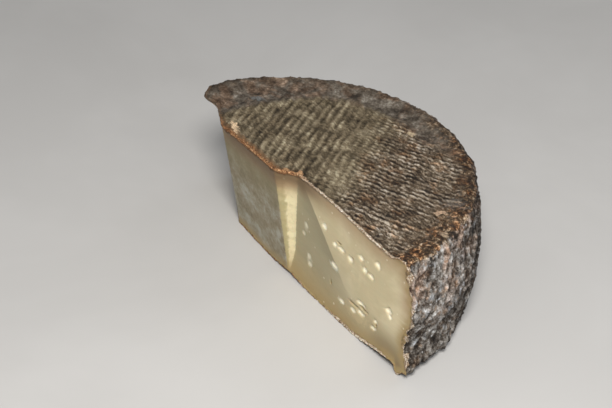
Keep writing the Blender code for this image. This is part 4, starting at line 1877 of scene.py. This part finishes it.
    def build(self) -> bpy.types.Material:
        """Build the paste's material.

        Returns:
            The material.
        """
        made, coat = start_material("goat_paste")
        depth = coat.value(Value.DEPTH)
        upper = coat.rise(coat.z, 30.0, 45.0)
        crisp = self.crisp_depth(coat, depth, upper)
        tone = self.smudged(coat, self.areas(coat))
        tone = self.browned(coat, depth, upper, tone)
        tone = self.eyed(coat, tone)
        tone = self.edged(coat, crisp, upper, tone)
        grain = coat.grain(0.10, 0.05)
        crust = coat.grain(0.6, 0.3)
        height = coat.math("MULTIPLY_ADD", coat.rise(crisp, 1.6, 0.9), crust, grain)
        roughness = coat.rise(crisp, 0.9, 1.8, 0.80, 0.50)
        finish_material(coat, tone, roughness, height, 0.8,
                        {"Specular IOR Level": 0.4, "Subsurface Weight": 0.08, "Subsurface Scale": 0.003})
        return made


@dataclass(frozen=True)
class Lamp:
    """A soft area light that looks at the cheese."""

    name: str
    place: Point
    size: float
    power: float
    colour: Colour = (1.0, 1.0, 1.0)

    def build(self, target: Vector) -> None:
        """Add the light to the scene.

        Args:
            target: Point that the lamp looks at, in metres.
        """
        data = bpy.data.lights.new(self.name, "AREA")
        data.shape = "DISK"
        data.size = self.size
        data.energy = self.power
        data.color = self.colour
        made = bpy.data.objects.new(self.name, data)
        made.location = target + Vector(self.place)
        made.rotation_euler = (-Vector(self.place)).to_track_quat("-Z", "Y").to_euler()
        bpy.context.scene.collection.objects.link(made)


@dataclass
class Studio:
    """Pale floor, soft lights, and the camera at the photo's angle."""

    camera_place: Point = (453.2, -305.8, 433.2)
    heading: float = math.radians(54.8)
    pitch: float = math.radians(35.19)
    roll: float = math.radians(1.015)
    lens: float = 76.5
    floor_size: float = 6.0
    floor_colour: Colour = (0.53, 0.52, 0.505)
    floor_tint: Colour = (0.57, 0.56, 0.545)
    lamps: tuple[Lamp, ...] = (
        Lamp("key", (0.46, -0.34, 0.72), 0.30, 8.8, (1.0, 0.98, 0.95)),
        Lamp("side", (0.98, -0.10, 0.42), 0.30, 1.4, (0.93, 0.96, 1.0)),
        Lamp("back", (0.10, 1.05, 0.85), 0.8, 2.0, (0.96, 0.98, 1.0)),
    )
    aim: Point = (0.02, 0.03, 0.03)
    world_colour: Colour = (0.97, 0.98, 1.0)
    world_strength: float = 0.24

    def add_floor(self) -> bpy.types.Object:
        """Add the floor, faintly uneven in tone.

        Returns:
            The floor.
        """
        reach = 0.5 * self.floor_size
        mesh = bpy.data.meshes.new("floor")
        corners = [(-reach, -reach, 0.0), (reach, -reach, 0.0), (reach, reach, 0.0), (-reach, reach, 0.0)]
        mesh.from_pydata(corners, [], [(0, 1, 2, 3)])
        made = bpy.data.objects.new("floor", mesh)
        bpy.context.scene.collection.objects.link(made)
        material, coat = start_material("pale_floor")
        tone = coat.mix(coat.mottle(180.0, 0.35, 0.70, 0.0), self.floor_colour, self.floor_tint)
        finish_material(coat, tone, 0.7, coat.grain(0.02, 0.01), 0.2, {"Specular IOR Level": 0.3})
        mesh.materials.append(material)
        return made

    def add_camera(self, axis: Vector) -> None:
        """Add the camera, given the foot of the wheel's axis.

        Args:
            axis: Foot of the wheel's axis, in metres.
        """
        forward = Vector((-math.sin(self.heading) * math.cos(self.pitch),
                          math.cos(self.heading) * math.cos(self.pitch), -math.sin(self.pitch)))
        level = forward.cross(Vector((0.0, 0.0, 1.0))).normalized()
        above = level.cross(forward)
        right = level * math.cos(self.roll) + above * math.sin(self.roll)
        up = above * math.cos(self.roll) - level * math.sin(self.roll)
        data = bpy.data.cameras.new("camera")
        data.lens = self.lens
        data.sensor_width = 36.0
        made = bpy.data.objects.new("camera", data)
        turn = Matrix((right, up, -forward)).transposed()
        made.matrix_world = Matrix.Translation(axis + MM * Vector(self.camera_place)) @ turn.to_4x4()
        bpy.context.scene.collection.objects.link(made)
        bpy.context.scene.camera = made

    def build(self, axis: Vector) -> None:
        """Set up the floor, the lights, the world and the camera.

        Args:
            axis: Foot of the wheel's axis, in metres.
        """
        self.add_floor()
        target = axis + Vector(self.aim)
        for lamp in self.lamps:
            lamp.build(target)
        world = bpy.data.worlds.new("studio")
        world.use_nodes = True
        background = world.node_tree.nodes["Background"]
        background.inputs["Color"].default_value = (*self.world_colour, 1.0)
        background.inputs["Strength"].default_value = self.world_strength
        bpy.context.scene.world = world
        bpy.context.scene.view_settings.view_transform = "Standard"
        self.add_camera(axis)


def main() -> None:
    """Build the cheese and the studio, and report each piece."""
    logging.basicConfig(level=logging.INFO, format="%(name)s: %(message)s")
    cheese = CheeseHalf()
    made = cheese.build()
    log.info("%s: %d points, %d faces", made.name, len(made.data.vertices), len(made.data.polygons))
    Studio().build(cheese.axis())
    log.info("studio: floor, lights and camera")


if __name__ == "__main__":
    main()
